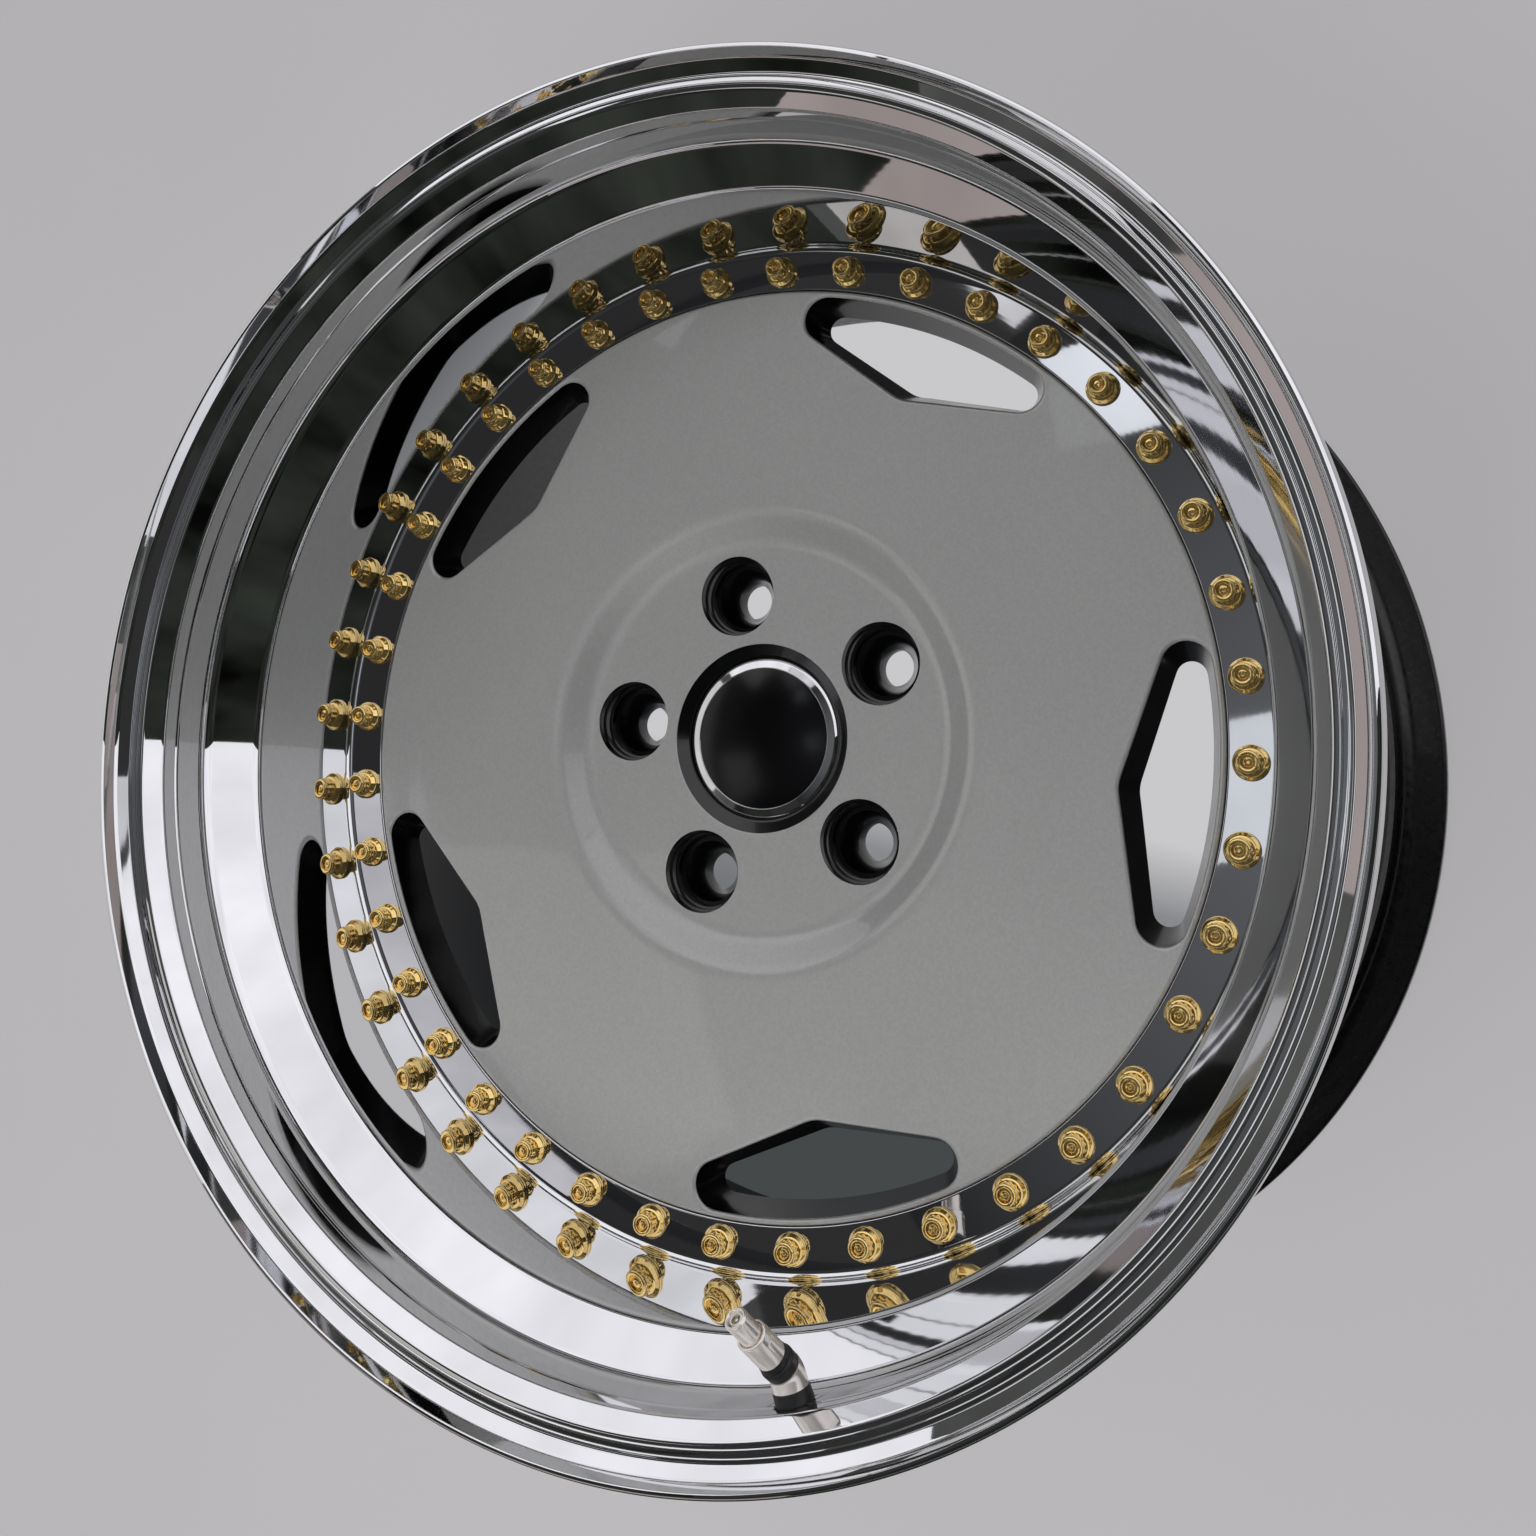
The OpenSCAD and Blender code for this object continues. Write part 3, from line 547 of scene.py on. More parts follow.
class CentreDisc(Step):
    """The painted centre disc with its windows, lug pockets and hub"""
    bl_idname = "wheel.centre_disc"
    bl_label = "Centre disc"

    def make(self, rim):
        back, mount = rim.face - DISC_THICK, rim.pad - PAD_THICK
        pad_r, cap_r = sizes().pad_diameter / MM / 2, sizes().cap_diameter / MM / 2
        outline = rounded(
            [(HUB_R, mount, 1), (77, mount, 2), (91, back, 12), (rim.face_r - 3, back, 2),
             (rim.face_r, rim.disc_back, 0.5), (rim.joint - 2, rim.disc_back, 0.5),
             (rim.joint - 2, rim.lip_back, 0.5), (rim.face_r, rim.lip_back, 0), (rim.face_r, rim.face, 1.6),
             (STEP_R, rim.face, 14), (pad_r, rim.pad, 14), (38.9, rim.pad, 0.8),
             # the seat of the cap and the groove that its clips catch in
             (cap_r + 0.8, rim.ledge + 2.4, 0), (cap_r + 0.2, rim.ledge + 2.2, 0), (cap_r + 0.2, rim.ledge, 0),
             (31.5, rim.ledge, 0), (31.5, rim.ledge - 5, 0), (35.1, rim.ledge - 5, 0),
             (35.1, rim.ledge - 8.6, 0), (HUB_R, rim.ledge - 8.6, 0)], 10)
        disc = turned("centre_disc_painted", outline, 320, smooth=0)
        first = window_tool(rim)
        turn = 360 / WINDOWS
        tools = [copied(first, "window_%d" % i, about(36 + turn * i)) for i in range(WINDOWS)]
        bpy.data.objects.remove(first)
        # a lug pocket: two fine steps down to the seat, the nut's cone and the stud's hole
        seat, r, cone_r, stud_r = rim.pad - 9.5, POCKET_R, 12.4, 7.6
        foot = seat - (cone_r - stud_r) / tan(radians(30))
        pocket = turned("pocket", [Vector(p) * MM for p in (
            (0, rim.pad + 2), (r + 0.1, rim.pad + 2), (r, rim.pad), (r - 0.4, rim.pad - 3.6),
            (r - 1.2, rim.pad - 3.9), (r - 1.5, rim.pad - 6.8), (r - 2.3, rim.pad - 7.1), (r - 2.5, seat),
            (cone_r, seat), (stud_r, foot), (stud_r, mount - 1), (0, mount - 1))], 64)
        lug_r = sizes().lug_circle / 2
        tools += [copied(pocket, "pocket_%d" % i, about(90 + turn * i) @ Matrix.Translation((lug_r, 0, 0)))
                  for i in range(WINDOWS)]
        bpy.data.objects.remove(pocket)
        cut(disc, *tools)
        finished(disc, "centre_disc", "silver_paint", "wheel", finish("silver"), finish("black"))
        only(disc)
        bpy.ops.object.shade_smooth_by_angle(angle=radians(30))
        modified(disc, "WEIGHTED_NORMAL", keep_sharp=True)
        # the black lacquer covers the walls of the windows, the pockets and the hub
        lugs = [about(90 + turn * i) @ Vector((lug_r / MM, 0, 0)) for i in range(WINDOWS)]
        for face in disc.data.polygons:
            c = face.center / MM
            r = hypot(c.x, c.y)
            nearest = min(hypot(c.x - lug.x, c.y - lug.y) for lug in lugs)
            in_window = 140 < r < 185.5 and rim.disc_back + 0.9 < c.z < rim.face - 1.1
            in_pocket = nearest < POCKET_R + 0.5 and mount + 0.6 < c.z < rim.pad - 0.12
            in_hub = r < 38.8 and c.z < rim.pad - 0.35
            face.material_index = 1 if in_window or in_pocket or in_hub else 0


def head_outline():
    """Radius and height of a rim bolt: dimpled middle, end ring, neck, domed collar and shank"""
    return rounded([(0, 7.0, 0), (0.35, 7.0, 0), (0.6, 7.7, 0.2), (1.75, 7.5, 0.4), (1.95, 5.4, 0),
                    (2.45, 5.4, 0), (2.6, 8.2, 0.3), (3.3, 8.5, 0.8), (4.2, 8.1, 0.8), (4.2, 7.2, 0.3),
                    (3.6, 6.8, 0.2), (3.6, 3.6, 0.3), (5.0, 3.3, 1.5), (6.5, 1.4, 1.3), (6.5, 0, 0.2),
                    (3.5, 0, 0), (3.5, -30.1, 0.6), (0, -30.1, 0)], 5, 0.2)


class RimBolts(Step):
    """The gold rim bolts with their washers and nuts"""
    bl_idname = "wheel.rim_bolts"
    bl_label = "Rim bolts"

    def make(self, rim):
        bolt = turned("rim_bolt", head_outline(), 40, smooth=35)
        deselect()
        bpy.ops.mesh.primitive_cylinder_add(vertices=24, radius=4.6 * MM, depth=3.7 * MM, location=(0, 0, 4.75 * MM))
        star = bpy.context.object
        bpy.ops.object.transform_apply(location=True)
        bpy.ops.object.mode_set(mode="EDIT")
        bpy.ops.mesh.select_all(action="DESELECT")
        bpy.ops.object.mode_set(mode="OBJECT")
        for v in star.data.vertices:
            v.select = round(atan2(v.co.y, v.co.x) / (pi / 12)) % 2 == 1
        bpy.ops.object.mode_set(mode="EDIT")
        bpy.ops.transform.resize(value=(0.84, 0.84, 1), center_override=(0, 0, 0))
        bpy.ops.object.mode_set(mode="OBJECT")
        modified(star, "BEVEL", width=0.45 * MM, segments=3, limit_method="ANGLE", angle_limit=radians(50))
        bpy.ops.object.shade_smooth_by_angle(angle=radians(35))
        deselect()
        star.select_set(True)
        bolt.select_set(True)
        bpy.context.view_layer.objects.active = bolt
        bpy.ops.object.join()
        washer = turned("rim_washer", rounded([(3.7, 0, 0.1), (3.7, -1, 0.1), (6.4, -1, 0.2), (6.4, 0, 0.2)], 2), 48)
        deselect()
        bpy.ops.mesh.primitive_cylinder_add(vertices=6, radius=5 / cos(pi / 6) * MM, depth=6.5 * MM)
        nut = bpy.context.object
        crown = turned("crown", rounded([(0, -5, 0), (0, 5, 0), (4.4, 5, 0), (7.4, 0.6, 0), (7.4, -5, 0)], 2), 48)
        modified(nut, "BOOLEAN", operation="INTERSECT", solver="EXACT", object=crown)
        bpy.data.objects.remove(crown)
        flange = turned("flange", rounded([(0, -3.25, 0), (5.7, -3.25, 0), (6.1, -2.8, 0.3), (5.6, -1.25, 0),
                                           (0, -1.25, 0)], 3), 48)
        modified(nut, "BOOLEAN", operation="UNION", solver="EXACT", object=flange)
        bpy.data.objects.remove(flange)
        bore = turned("bore", rounded([(0, -9, 0), (3.5, -9, 0), (3.5, 2.7, 0), (4.3, 3.6, 0), (4.3, 9, 0),
                                       (0, 9, 0)], 2), 40)
        cut(nut, bore)
        modified(nut, "BEVEL", width=0.15 * MM, segments=2, limit_method="ANGLE", angle_limit=radians(35))
        only(nut)
        bpy.ops.object.shade_smooth_by_angle(angle=radians(35))
        for name, first, z, turn, slot, material in (
                ("bolt", bolt, rim.band, 1, "gold_steel", "gold"),
                ("washer", washer, rim.barrel_back, 1, "zinc_steel", "zinc"),
                ("nut", nut, rim.barrel_back - 1 - 3.25, -1, "zinc_steel", "zinc")):
            first.data.materials.clear()
            first.data.materials.append(finish(material))
            for i in range(sizes().bolt_count):
                place = about(94 + 360 * i / sizes().bolt_count) @ Matrix.Translation(Vector((rim.bolt, 0, z)) * MM)
                # each fastener was tightened to its own angle
                place = place @ about((i * 47) % 60) @ Matrix.Diagonal((1, 1, turn, 1))
                piece = copied(first, "rim_%s_%02d" % (name, i + 1), place)
                if turn < 0:
                    bpy.ops.object.mode_set(mode="EDIT")
                    cleaned(piece, smooth=0)
                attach(piece, "wheel")
                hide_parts("rim_%ss" % name)
            bpy.data.objects.remove(first)


class RimSeal(Step):
    """The bead of sealant over the joint of the rim halves"""
    bl_idname = "wheel.rim_seal"
    bl_label = "Rim seal"

    def make(self, rim):
        bead = turned("rim_seal_bead", rounded(
            [(rim.joint - 1.8, rim.disc_back + 0.1, 0), (rim.joint + 0.1, rim.disc_back + 0.1, 0),
             (rim.joint + 0.1, rim.disc_back - 3, 0), (rim.joint + 2, rim.disc_back - 2.4, 1.5),
             (rim.joint + 2.2, rim.lip_back + 2.4, 1.5), (rim.joint + 0.4, rim.lip_back + 3, 0),
             (rim.joint + 0.1, rim.lip_back - 0.1, 0), (rim.joint - 1.8, rim.lip_back - 0.1, 0)], 6), 256)
        finished(bead, "rim_seal", "sealant", "wheel", finish("sealant"))


class CentreCap(Step):
    """The centre cap: clipped body, chromed bezel and glossy dome"""
    bl_idname = "wheel.centre_cap"
    bl_label = "Centre cap"

    def make(self, rim):
        top, cap_r, dome_r, clip = rim.ledge + 1.6, sizes().cap_diameter / MM / 2, 28.6, 31.3
        body = turned("cap_body_moulded", rounded(
            [(0, rim.ledge - 2, 0), (clip - 3.2, rim.ledge - 2, 0), (clip - 3.2, rim.ledge, 0),
             (clip - 1.8, rim.ledge, 0), (clip - 1.8, rim.ledge - 8, 0.3), (clip + 0.7, rim.ledge - 6.2, 0.3),
             (clip + 0.7, rim.ledge - 5.2, 0), (clip, rim.ledge - 5.2, 0), (clip, rim.ledge, 0),
             (cap_r, rim.ledge, 0.2), (cap_r, top, 0.3), (0, top, 0)], 4), 160)
        # five slots across it leave the ten clips
        gaps = []
        for i in range(5):
            deselect()
            bpy.ops.mesh.primitive_cube_add(size=1, location=(0, 0, 0))
            gap = bpy.context.object
            gap.scale = (4 * cap_r * MM, 11 * MM, 9 * MM)
            gap.location.z = (rim.ledge - 2.3 - 4.5) * MM
            bpy.ops.object.transform_apply(location=True, scale=True)
            gaps.append(placed(gap, about(36 * i)))
        cut(body, *gaps)
        only(body)
        bpy.ops.object.shade_smooth_by_angle(angle=radians(30))
        finished(body, "cap_body", "black_plastic", "wheel", finish("plastic"))
        bezel = turned("cap_bezel_chromed", rounded(
            [(dome_r, top, 0), (dome_r, top + 1.6, 0.3), (cap_r - 1.4, top + 0.8, 1.6), (cap_r - 0.5, top + 0.2, 0.3),
             (cap_r - 0.5, top, 0)], 6), 200)
        finished(bezel, "cap_bezel", "chrome", "wheel", finish("chrome"))
        r, rise = dome_r - 0.05, 2.6
        sphere = (r * r + rise * rise) / (2 * rise)
        half = asin(r / sphere)
        outline = [(0, top + 0.01), (r, top + 0.01), (r, top + 0.9)]
        for i in range(33):
            lean = half * (1 - i / 32)
            outline.append((sphere * sin(lean), top + 1.2 + rise - sphere + sphere * cos(lean)))
        dome = turned("cap_dome_gloss", [Vector(p) * MM for p in outline], 160)
        finished(dome, "cap_dome", "gloss_black", "wheel", finish("dome"))


class Valve(Step):
    """The bent chromed valve with its rubber seals, sleeve, core and pin"""
    bl_idname = "wheel.valve"
    bl_label = "Valve"

    def make(self, rim):
        seat, bent = rim.valve_place(), rim.bent_place()
        top = RING_H + SLEEVE_H + TIP_H
        bend_r = KNEE_OUT / tan(radians(VALVE_BEND / 2))
        # the elbow: a round bar drawn up from the foot, bent about a point beside it, and drawn on to the ring
        deselect()
        bpy.ops.mesh.primitive_circle_add(vertices=56, radius=ELBOW_R * MM, fill_type="NGON", location=(0, 0, 0))
        elbow = bpy.context.object
        elbow.name = elbow.data.name = "valve_elbow"
        bpy.ops.object.mode_set(mode="EDIT")
        bpy.ops.mesh.select_all(action="SELECT")
        bpy.ops.transform.translate(value=(0, 0, FOOT_H * MM))
        for rise in (0.3, KNEE - KNEE_OUT - FOOT_H - 0.6, 0.3):
            bpy.ops.mesh.extrude_region_move(TRANSFORM_OT_translate={"value": (0, 0, rise * MM)})
        bpy.ops.mesh.spin(steps=14, angle=radians(-VALVE_BEND), center=(bend_r * MM, 0, (KNEE - KNEE_OUT) * MM),
                          axis=(0, 1, 0))
        cleaned(elbow, 40)
        modified(elbow, "BEVEL", width=0.5 * MM, segments=3, limit_method="ANGLE", angle_limit=radians(60))
        only(elbow)
        bpy.ops.object.shade_smooth_by_angle(angle=radians(40))
        placed(elbow, seat @ about(VALVE_SWIVEL))
        spigot = placed(turned("spigot", rounded(
            [(1.2, -10.8, 0), (SPIGOT_R - 0.6, -10.8, 0.2), (SPIGOT_R, -10.2, 0.2), (SPIGOT_R, FOOT_H, 0),
             (1.2, FOOT_H, 0)], 3), 48), seat)
        neck = placed(turned("neck", rounded(
            [(2.7, -0.2, 0), (SPIGOT_R, -0.2, 0), (SPIGOT_R, RING_H, 0), (STEM_R, RING_H, 0),
             (STEM_R, top - 0.7, 0.2), (STEM_R - 0.6, top, 0.2), (3.1, top, 0.2), (2.65, top - 0.8, 0)],
            4), 56), bent)
        deselect()
        for part in (spigot, neck, elbow):
            part.select_set(True)
        bpy.context.view_layer.objects.active = elbow
        bpy.ops.object.join()
        finished(elbow, "valve_stem", "chrome", "wheel", finish("nickel"))

        def seal(name, outline, place, node_name, slot, material, steps=56):
            piece = placed(turned(name, rounded(outline, 5), steps), place)
            finished(piece, node_name, slot, "wheel", finish(material))

        seal("valve_foot_rubber", [(SPIGOT_R, -1.3, 0), (FOOT_R, -1.3, 0.4), (FOOT_R - 0.4, FOOT_H, 0.5),
                                   (SPIGOT_R, FOOT_H, 0)],
             seat, "valve_outer_seal", "rubber", "rubber")
        seal("valve_seal_rubber", [(SPIGOT_R, -3.4, 0), (SPIGOT_R, -5, 0), (7.5, -5, 0.5), (7.5, -3.4, 0.5)],
             seat, "valve_inner_seal", "rubber", "rubber")
        seal("valve_washer_plated", [(SPIGOT_R, -5, 0), (SPIGOT_R, -5.8, 0), (7.2, -5.8, 0.2), (7.2, -5, 0.2)],
             seat, "valve_washer", "zinc_steel", "zinc")
        r = ELBOW_R
        seal("valve_ring_rubber", [(SPIGOT_R, 0, 0), (r - 0.2, 0, 0.8), (r + 0.1, RING_H * 0.55, 1),
                                   (r - 0.8, RING_H * 0.64, 0.2), (r - 0.4, RING_H * 0.74, 0.4),
                                   (r - 0.7, RING_H, 0.5), (SPIGOT_R, RING_H, 0)],
             bent, "valve_ring", "rubber", "rubber")
        h = RING_H + SLEEVE_H
        sleeve = turned("valve_sleeve_chromed", rounded(
            [(STEM_R, RING_H, 0), (SLEEVE_R, RING_H, 0.4), (SLEEVE_R, h, 0.5), (SLEEVE_R - 0.9, h, 0.2),
             (STEM_R + 0.2, h - 1, 0), (STEM_R, h - 1, 0)], 4), 64)
        flats = []
        for side in (-1, 1):
            deselect()
            bpy.ops.mesh.primitive_cube_add(size=1, location=(0, 0, 0))
            block = bpy.context.object
            block.scale = (8 * MM, 2 * MM, 3 * MM)
            block.location = (0, side * (SLEEVE_R + 0.5) * MM, (h - 2.5) * MM)
            bpy.ops.object.transform_apply(location=True, scale=True)
            flats.append(block)
        cut(sleeve, *flats)
        modified(sleeve, "BEVEL", width=0.12 * MM, segments=2, limit_method="ANGLE", angle_limit=radians(50))
        only(sleeve)
        bpy.ops.object.shade_smooth_by_angle(angle=radians(35))
        finished(placed(sleeve, bent), "valve_sleeve", "chrome", "wheel", finish("nickel"))
        deselect()
        bpy.ops.mesh.primitive_cylinder_add(vertices=6, radius=6 / cos(pi / 6) * MM, depth=4 * MM, location=(0, 0, 0))
        nut = bpy.context.object
        nut.name = nut.data.name = "valve_nut_plated"
        bore = turned("bore", rounded([(0, -9, 0), (SPIGOT_R, -9, 0), (SPIGOT_R, 9, 0), (0, 9, 0)], 2), 48)
        cut(nut, bore)
        modified(nut, "BEVEL", width=0.3 * MM, segments=3, limit_method="ANGLE", angle_limit=radians(40))
        only(nut)
        bpy.ops.object.shade_smooth_by_angle(angle=radians(35))
        placed(nut, seat @ Matrix.Translation((0, 0, -7.8 * MM)))
        finished(nut, "valve_nut", "zinc_steel", "wheel", finish("zinc"))
        core = bent @ Matrix.Translation((0, 0, (top - 15.6) * MM))
        seal("valve_core_turned", [(1.6, 0, 0), (2.6, 0, 0.2), (2.6, 15, 0.3), (1.6, 15, 0.2), (1.6, 9, 0),
                                   (0.83, 9, 0), (0.83, 3, 0), (1.6, 3, 0)],
             core, "valve_core", "brass", "brass", 40)
        pin = turned("valve_pin_turned", rounded(
            [(0, 1.55, 0), (1.52, 1.55, 0.2), (1.52, 2.95, 0.2), (0.75, 2.95, 0), (0.75, 12.2, 0), (1.52, 12.2, 0.1),
             (1.52, 13, 0.1), (0.75, 13, 0), (0.75, 14.6, 0.35), (0, 14.6, 0)], 4), 32)
        finished(placed(pin, core), "valve_pin", "brass", "valve_pin", finish("brass"))
        # the core's spring: a round wire screwed up around the pin, whose head presses it together
        deselect()
        bpy.ops.mesh.primitive_circle_add(vertices=8, radius=0.2 * MM, location=(0, 0, 0))
        spring = bpy.context.object
        spring.name = spring.data.name = "valve_spring_coiled"
        bpy.ops.object.mode_set(mode="EDIT")
        bpy.ops.mesh.select_all(action="SELECT")
        bpy.ops.transform.rotate(value=pi / 2, orient_axis="X", center_override=(0, 0, 0))
        bpy.ops.transform.translate(value=(1.15 * MM, 0, 0.22 * MM))
        bpy.ops.object.mode_set(mode="OBJECT")
        modified(spring, "SCREW", angle=2 * pi, screw_offset=0.68 * MM, iterations=4, steps=24, render_steps=24)
        only(spring)
        bpy.ops.object.mode_set(mode="EDIT")
        bpy.ops.mesh.select_all(action="SELECT")
        bpy.ops.mesh.fill_holes(sides=0)
        foot = core @ Matrix.Translation((0, 0, 9 * MM))
        finished(placed(cleaned(spring, 60), foot), "valve_spring", "zinc_steel", "wheel", finish("zinc"))
        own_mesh(spring)


class HiddenNodes(Step):
    """Finish of the CAD piece that stays as it is"""
    bl_idname = "wheel.hidden_nodes"
    bl_label = "Cap spring"

    def make(self, rim):
        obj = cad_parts["cap_spring_ring"]
        obj.data.materials.clear()
        obj.data.materials.append(finish("zinc"))


# The studio, in metres: camera, lamps (name, place, size, power), cards bent about the wheel's axis (name,
# radius, first and last angle, lower and upper edge, glow, tint) and flat cards (name, size, place, glow)
CAMERA_PLACE, CAMERA_TURN = (0.28229, -0.0924, 0.78466), (10.4099, 26.8459, -9.6397)
CAMERA_LENS, CAMERA_SHIFT = 39.32, (0.0363, -0.1494)
LAMPS = (("key", (-0.25, -0.5, 1.15), 0.6, 11), ("top", (-0.3, 0.5, 2.4), 1.4, 14))
BENT_CARDS = (
    ("white", 2.5, -5, 135, 0.15, 3.9, 1.05, "fbfbff"), ("upper", 2.5, 3, 118, 3.95, 5.8, 0.75, "fbfbff"),
    ("small", 2.0, 172, 195, 2.5, 3.9, 0.6, "fffaf6"), ("west", 2.4, 140, 188, 1.2, 2.6, 0.7, "ffffff"),
    ("grey", 2.5, 135, 200, 0.15, 3.9, 0.09, "f2f6f0"), ("dark", 2.5, 200, 355, 0.15, 3.9, 0.025, "e6f4e0"),
    ("low", 2.3, 160, 250, 0.05, 0.75, 0.42, "f6e6e2"))
FLAT_CARDS = (("ceiling", 3.4, (0, 0, 4), 0.16), ("patch", 0.28, (-0.54, 1.27, 3.9), 0.9),
              ("slit", 0.34, (-0.39, 0.17, 3.9), 0.8), ("ground", 2.4, (0, -1.55, 0.004), 0.045))
INSIDE_R = 0.24


class Studio(Step):
    """The pale floor, the soft lamps, the cards and the camera"""
    bl_idname = "wheel.studio"
    bl_label = "Studio"

    def make(self, rim):
        scene = bpy.context.scene
        scene.view_settings.view_transform = "Standard"
        deselect()
        bpy.ops.object.camera_add(location=CAMERA_PLACE, rotation=[radians(turn) for turn in CAMERA_TURN])
        camera = bpy.context.object
        camera.data.lens, camera.data.sensor_width = CAMERA_LENS, 36
        camera.data.shift_x, camera.data.shift_y = CAMERA_SHIFT
        camera.data.clip_start = 0.01
        scene.camera = camera
        deselect()
        bpy.ops.mesh.primitive_plane_add(size=9, location=(0, 0, -0.0002))
        floor = bpy.context.object
        floor.name = "studio_floor"
        bpy.ops.object.transform_apply(location=True)
        floor.data.materials.append(self.floor_paint())
        self.world(scene)
        for name, place, size, power in LAMPS:
            deselect()
            bpy.ops.object.light_add(type="AREA", location=place)
            lamp = bpy.context.object
            lamp.name = "studio_" + name
            lamp.data.size, lamp.data.energy = size, power
            lamp.rotation_euler = (Vector((0, 0, 0.17)) - Vector(place)).to_track_quat("-Z", "Y").to_euler()
            # the lamps only light matt surfaces, the cards are what the polished ones show
            lamp.visible_glossy = False
        for name, radius, first, last, low, high, glow, tint in BENT_CARDS:
            card = turned("studio_card_" + name, [Vector((radius, low)), Vector((radius, high))], 48, closed=False,
                          angle=radians(last - first))
            self.hang(placed(card, about(last)), glow, tint)
        for name, size, place, glow in FLAT_CARDS:
            deselect()
            deselect()
            if name == "ceiling":
                bpy.ops.mesh.primitive_circle_add(vertices=64, radius=size / 2, fill_type="NGON",
                                                  location=place)
            else:
                bpy.ops.mesh.primitive_plane_add(size=size, location=place)
            card = bpy.context.object
            card.name = "studio_card_" + name
            bpy.ops.object.transform_apply(location=True)
            self.hang(card, glow, "f4f8ff", size / 2 if name == "ceiling" else 0)

    def hang(self, card, strength, tint, fade=0):
        """Give a card its glow, slightly uneven or fading outwards, and show it to reflections alone"""
        material, tree, shader = new_material(card.name + "_paper")
        glow = node(tree, "ShaderNodeEmission", Strength=strength, Color=to_linear(tint))
        place = node(tree, "ShaderNodeTexCoord").outputs["Object"]
        if not fade:
            uneven = 0.9 if strength < 0.05 else 0.5 if strength < 0.2 else 0.12
            cloud = node(tree, "ShaderNodeTexNoise", [(place, "Vector")], Scale=1 / 0.6, Detail=3.0)
            soft = node(tree, "ShaderNodeMapRange", [(cloud.outputs["Fac"], "Value")], From_Min=0.3, From_Max=0.7,
                        To_Min=strength * (1 - uneven), To_Max=strength * (1 + uneven))
            tree.links.new(soft.outputs["Result"], glow.inputs["Strength"])
        else:
            flat = node(tree, "ShaderNodeVectorMath", [(place, 0)], operation="MULTIPLY")
            flat.inputs[1].default_value = (1 / fade, 1 / fade, 0)
            ball = node(tree, "ShaderNodeTexGradient", [(flat.outputs[0], "Vector")], gradient_type="SPHERICAL")
            soft = node(tree, "ShaderNodeMapRange", [(ball.outputs["Fac"], "Value")], To_Min=0.02, To_Max=strength)
            tree.links.new(soft.outputs["Result"], glow.inputs["Strength"])
        tree.links.new(glow.outputs[0], tree.nodes["Material Output"].inputs["Surface"])
        tree.nodes.remove(shader)
        card.data.materials.clear()
        card.data.materials.append(material)
        card.visible_camera = card.visible_diffuse = card.visible_shadow = False

    def floor_paint(self):
        # Matt studio paint. Seen by the camera and in reflections it keeps its own colour, with a soft shadow
        material, tree, shader = new_material("studio_floor_paint", Roughness=0.8)
        place = node(tree, "ShaderNodeTexCoord").outputs["Object"]
        grain = node(tree, "ShaderNodeTexNoise", [(place, "Vector")], Scale=1 / 0.35, Detail=3.0)
        tone = node(tree, "ShaderNodeMapRange", [(grain.outputs["Fac"], "Value")], To_Min=0.96, To_Max=1.04)
        tint = node(tree, "ShaderNodeHueSaturation", [(tone.outputs["Result"], "Value")], Color=colours().floor)
        tree.links.new(tint.outputs["Color"], shader.inputs["Base Color"])
        # inside the barrel the floor is a bright card that shows through the windows and lug holes
        ball = node(tree, "ShaderNodeVectorMath", [(place, 0)], operation="LENGTH")
        inside = node(tree, "ShaderNodeMath", [(ball.outputs["Value"], 0)], operation="LESS_THAN")
        inside.inputs[1].default_value = INSIDE_R
        # painted shade: the card darkens towards the lower window, a dark grey painted where the shade falls inside
        # the barrel
        along = node(tree, "ShaderNodeVectorMath", [(place, 0)], operation="DOT_PRODUCT")
        along.inputs[1].default_value = (0.4, 1, 0)
        height = node(tree, "ShaderNodeMapRange", [(along.outputs["Value"], "Value")],
                      From_Min=-0.14, From_Max=-0.015)
        painted_shade_ramp = node(tree, "ShaderNodeValToRGB", [(height.outputs["Result"], "Fac")])
        # painted shade: dark grey at the lower end, mid grey between, the pale card above
        painted_shade_ramp.color_ramp.elements[0].color = to_linear("45494a")
        painted_shade_ramp.color_ramp.elements[1].color = colours().card
        painted_shade_ramp.color_ramp.elements.new(0.72).color = to_linear("898b8e")
        mix = node(tree, "ShaderNodeMix", [(inside.outputs[0], "Factor"), (tint.outputs["Color"], 6),
                                           (painted_shade_ramp.outputs["Color"], 7)], data_type="RGBA")
        glow = node(tree, "ShaderNodeEmission", [(mix.outputs[2], "Color")], Strength=1.0)
        path = node(tree, "ShaderNodeLightPath")
        seen = node(tree, "ShaderNodeMath", [(path.outputs["Is Camera Ray"], 0),
                                             (path.outputs["Is Glossy Ray"], 1)], operation="MAXIMUM")
        share = node(tree, "ShaderNodeMapRange", [(inside.outputs[0], "Value")], To_Min=0.75, To_Max=1.0)
        amount = node(tree, "ShaderNodeMath", [(seen.outputs[0], 0), (share.outputs["Result"], 1)],
                      operation="MULTIPLY")
        both = node(tree, "ShaderNodeMixShader", [(amount.outputs[0], 0), (shader.outputs["BSDF"], 1),
                                                  (glow.outputs[0], 2)])
        tree.links.new(both.outputs[0], tree.nodes["Material Output"].inputs["Surface"])
        return material

    def world(self, scene):
        world = bpy.data.worlds.new("studio_air")
        world.use_nodes = True
        tree = world.node_tree
        tree.nodes["Background"].inputs["Color"].default_value = to_linear("c4c4c6")
        tree.nodes["Background"].inputs["Strength"].default_value = 0.06
        scene.world = world


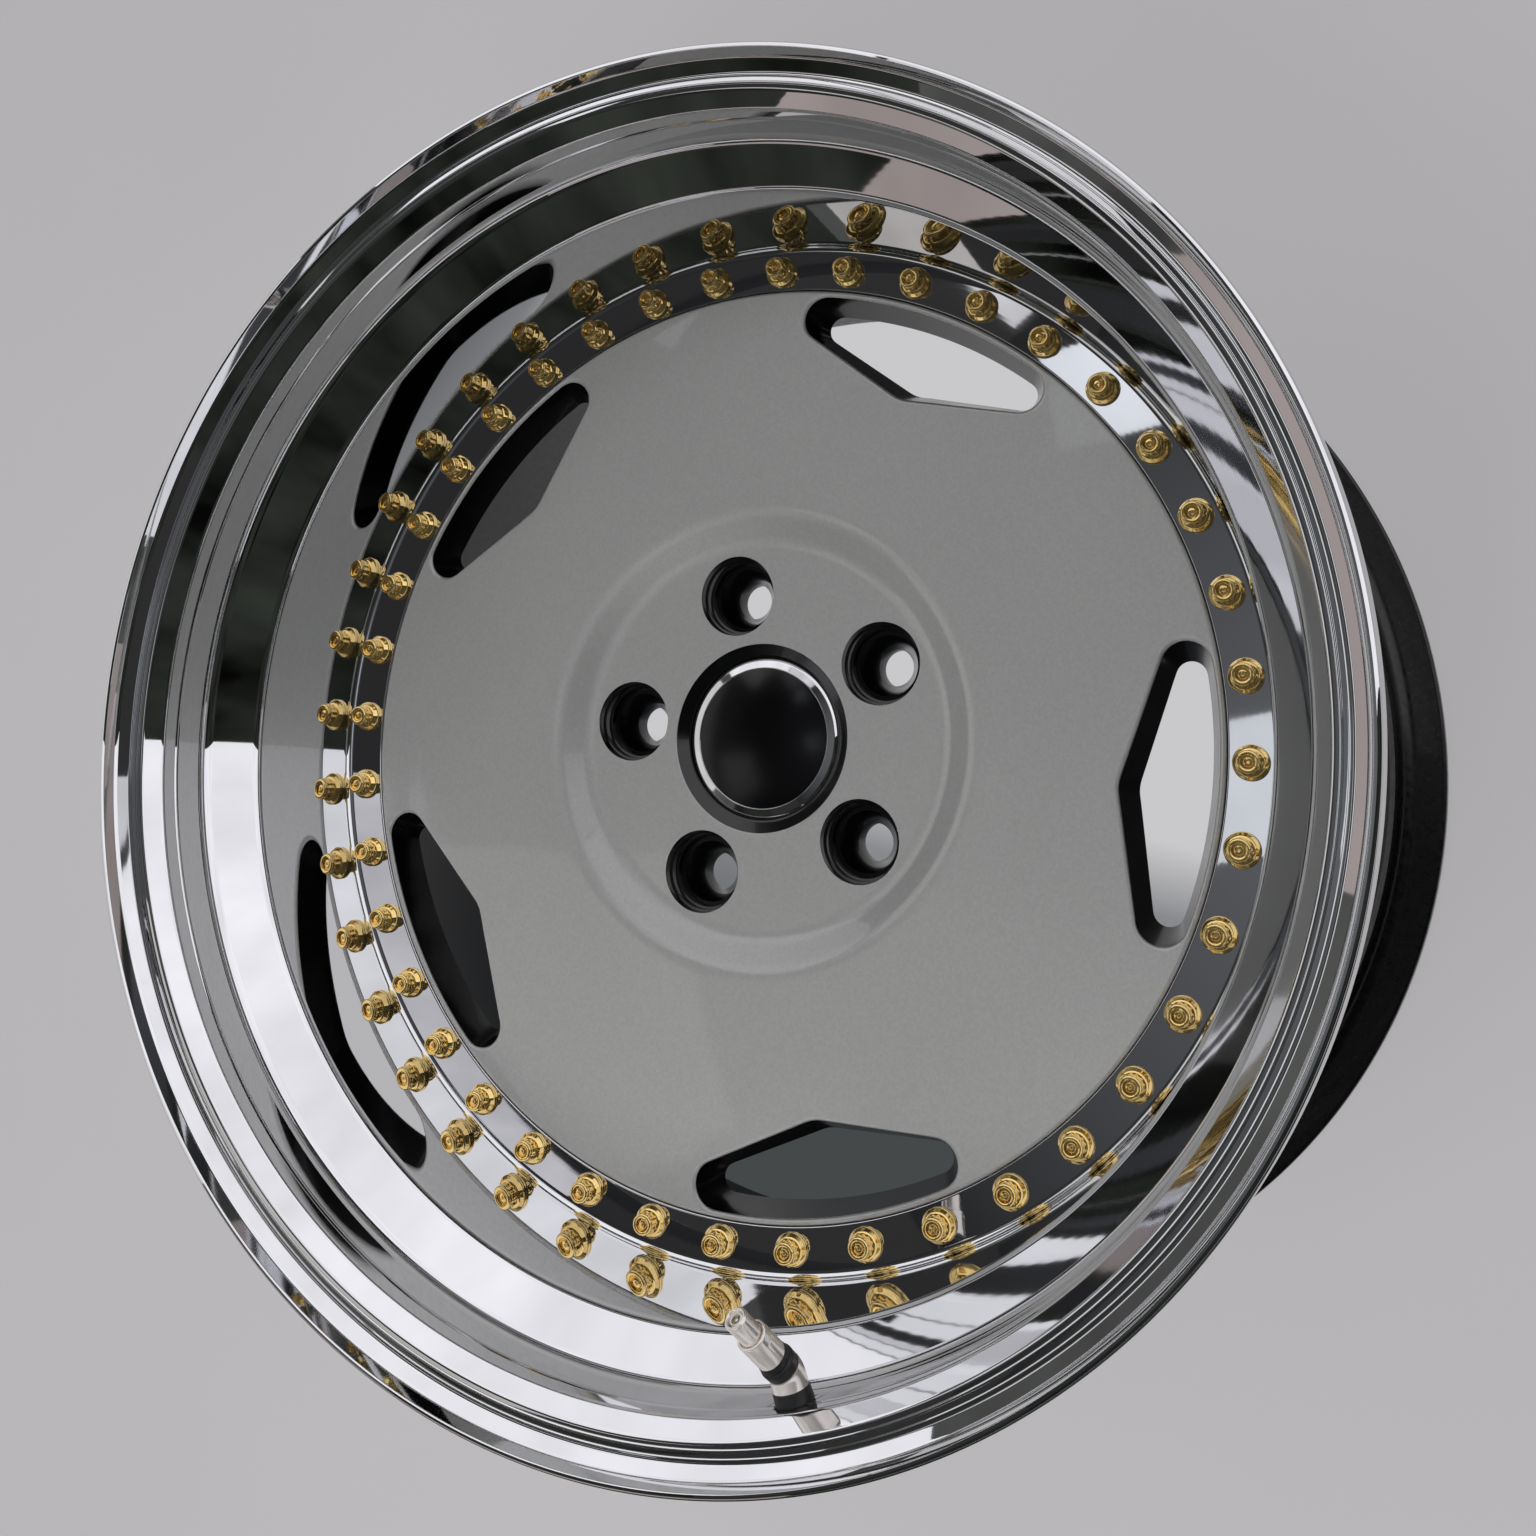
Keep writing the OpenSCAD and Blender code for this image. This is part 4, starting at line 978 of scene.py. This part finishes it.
class WHEEL_PT_panel(bpy.types.Panel):
    """Sizes, colours and making of the wheel"""
    bl_idname = "WHEEL_PT_panel"
    bl_label = "Split rim wheel"
    bl_space_type = "VIEW_3D"
    bl_region_type = "UI"
    bl_category = "Wheel"

    def draw(self, context):
        for group in (context.scene.wheel_sizes, context.scene.wheel_colours):
            box = self.layout.box()
            for key in group.__annotations__:
                box.prop(group, key)
        for step in STEPS:
            self.layout.operator(step.bl_idname)


STEPS = (OuterLip, InnerBarrel, CentreDisc, RimBolts, RimSeal, CentreCap, Valve, HiddenNodes, Studio)
CLASSES = (WheelSizes, WheelColours, WHEEL_PT_panel) + STEPS


def register():
    for cls in CLASSES:
        bpy.utils.register_class(cls)
    bpy.types.Scene.wheel_sizes = bpy.props.PointerProperty(type=WheelSizes)
    bpy.types.Scene.wheel_colours = bpy.props.PointerProperty(type=WheelColours)


def unregister():
    del bpy.types.Scene.wheel_colours
    del bpy.types.Scene.wheel_sizes
    for cls in reversed(CLASSES):
        bpy.utils.unregister_class(cls)


def main():
    register()
    for step in STEPS:
        group, name = step.bl_idname.split(".")
        getattr(getattr(bpy.ops, group), name)()


if __name__ == "__main__":
    main()
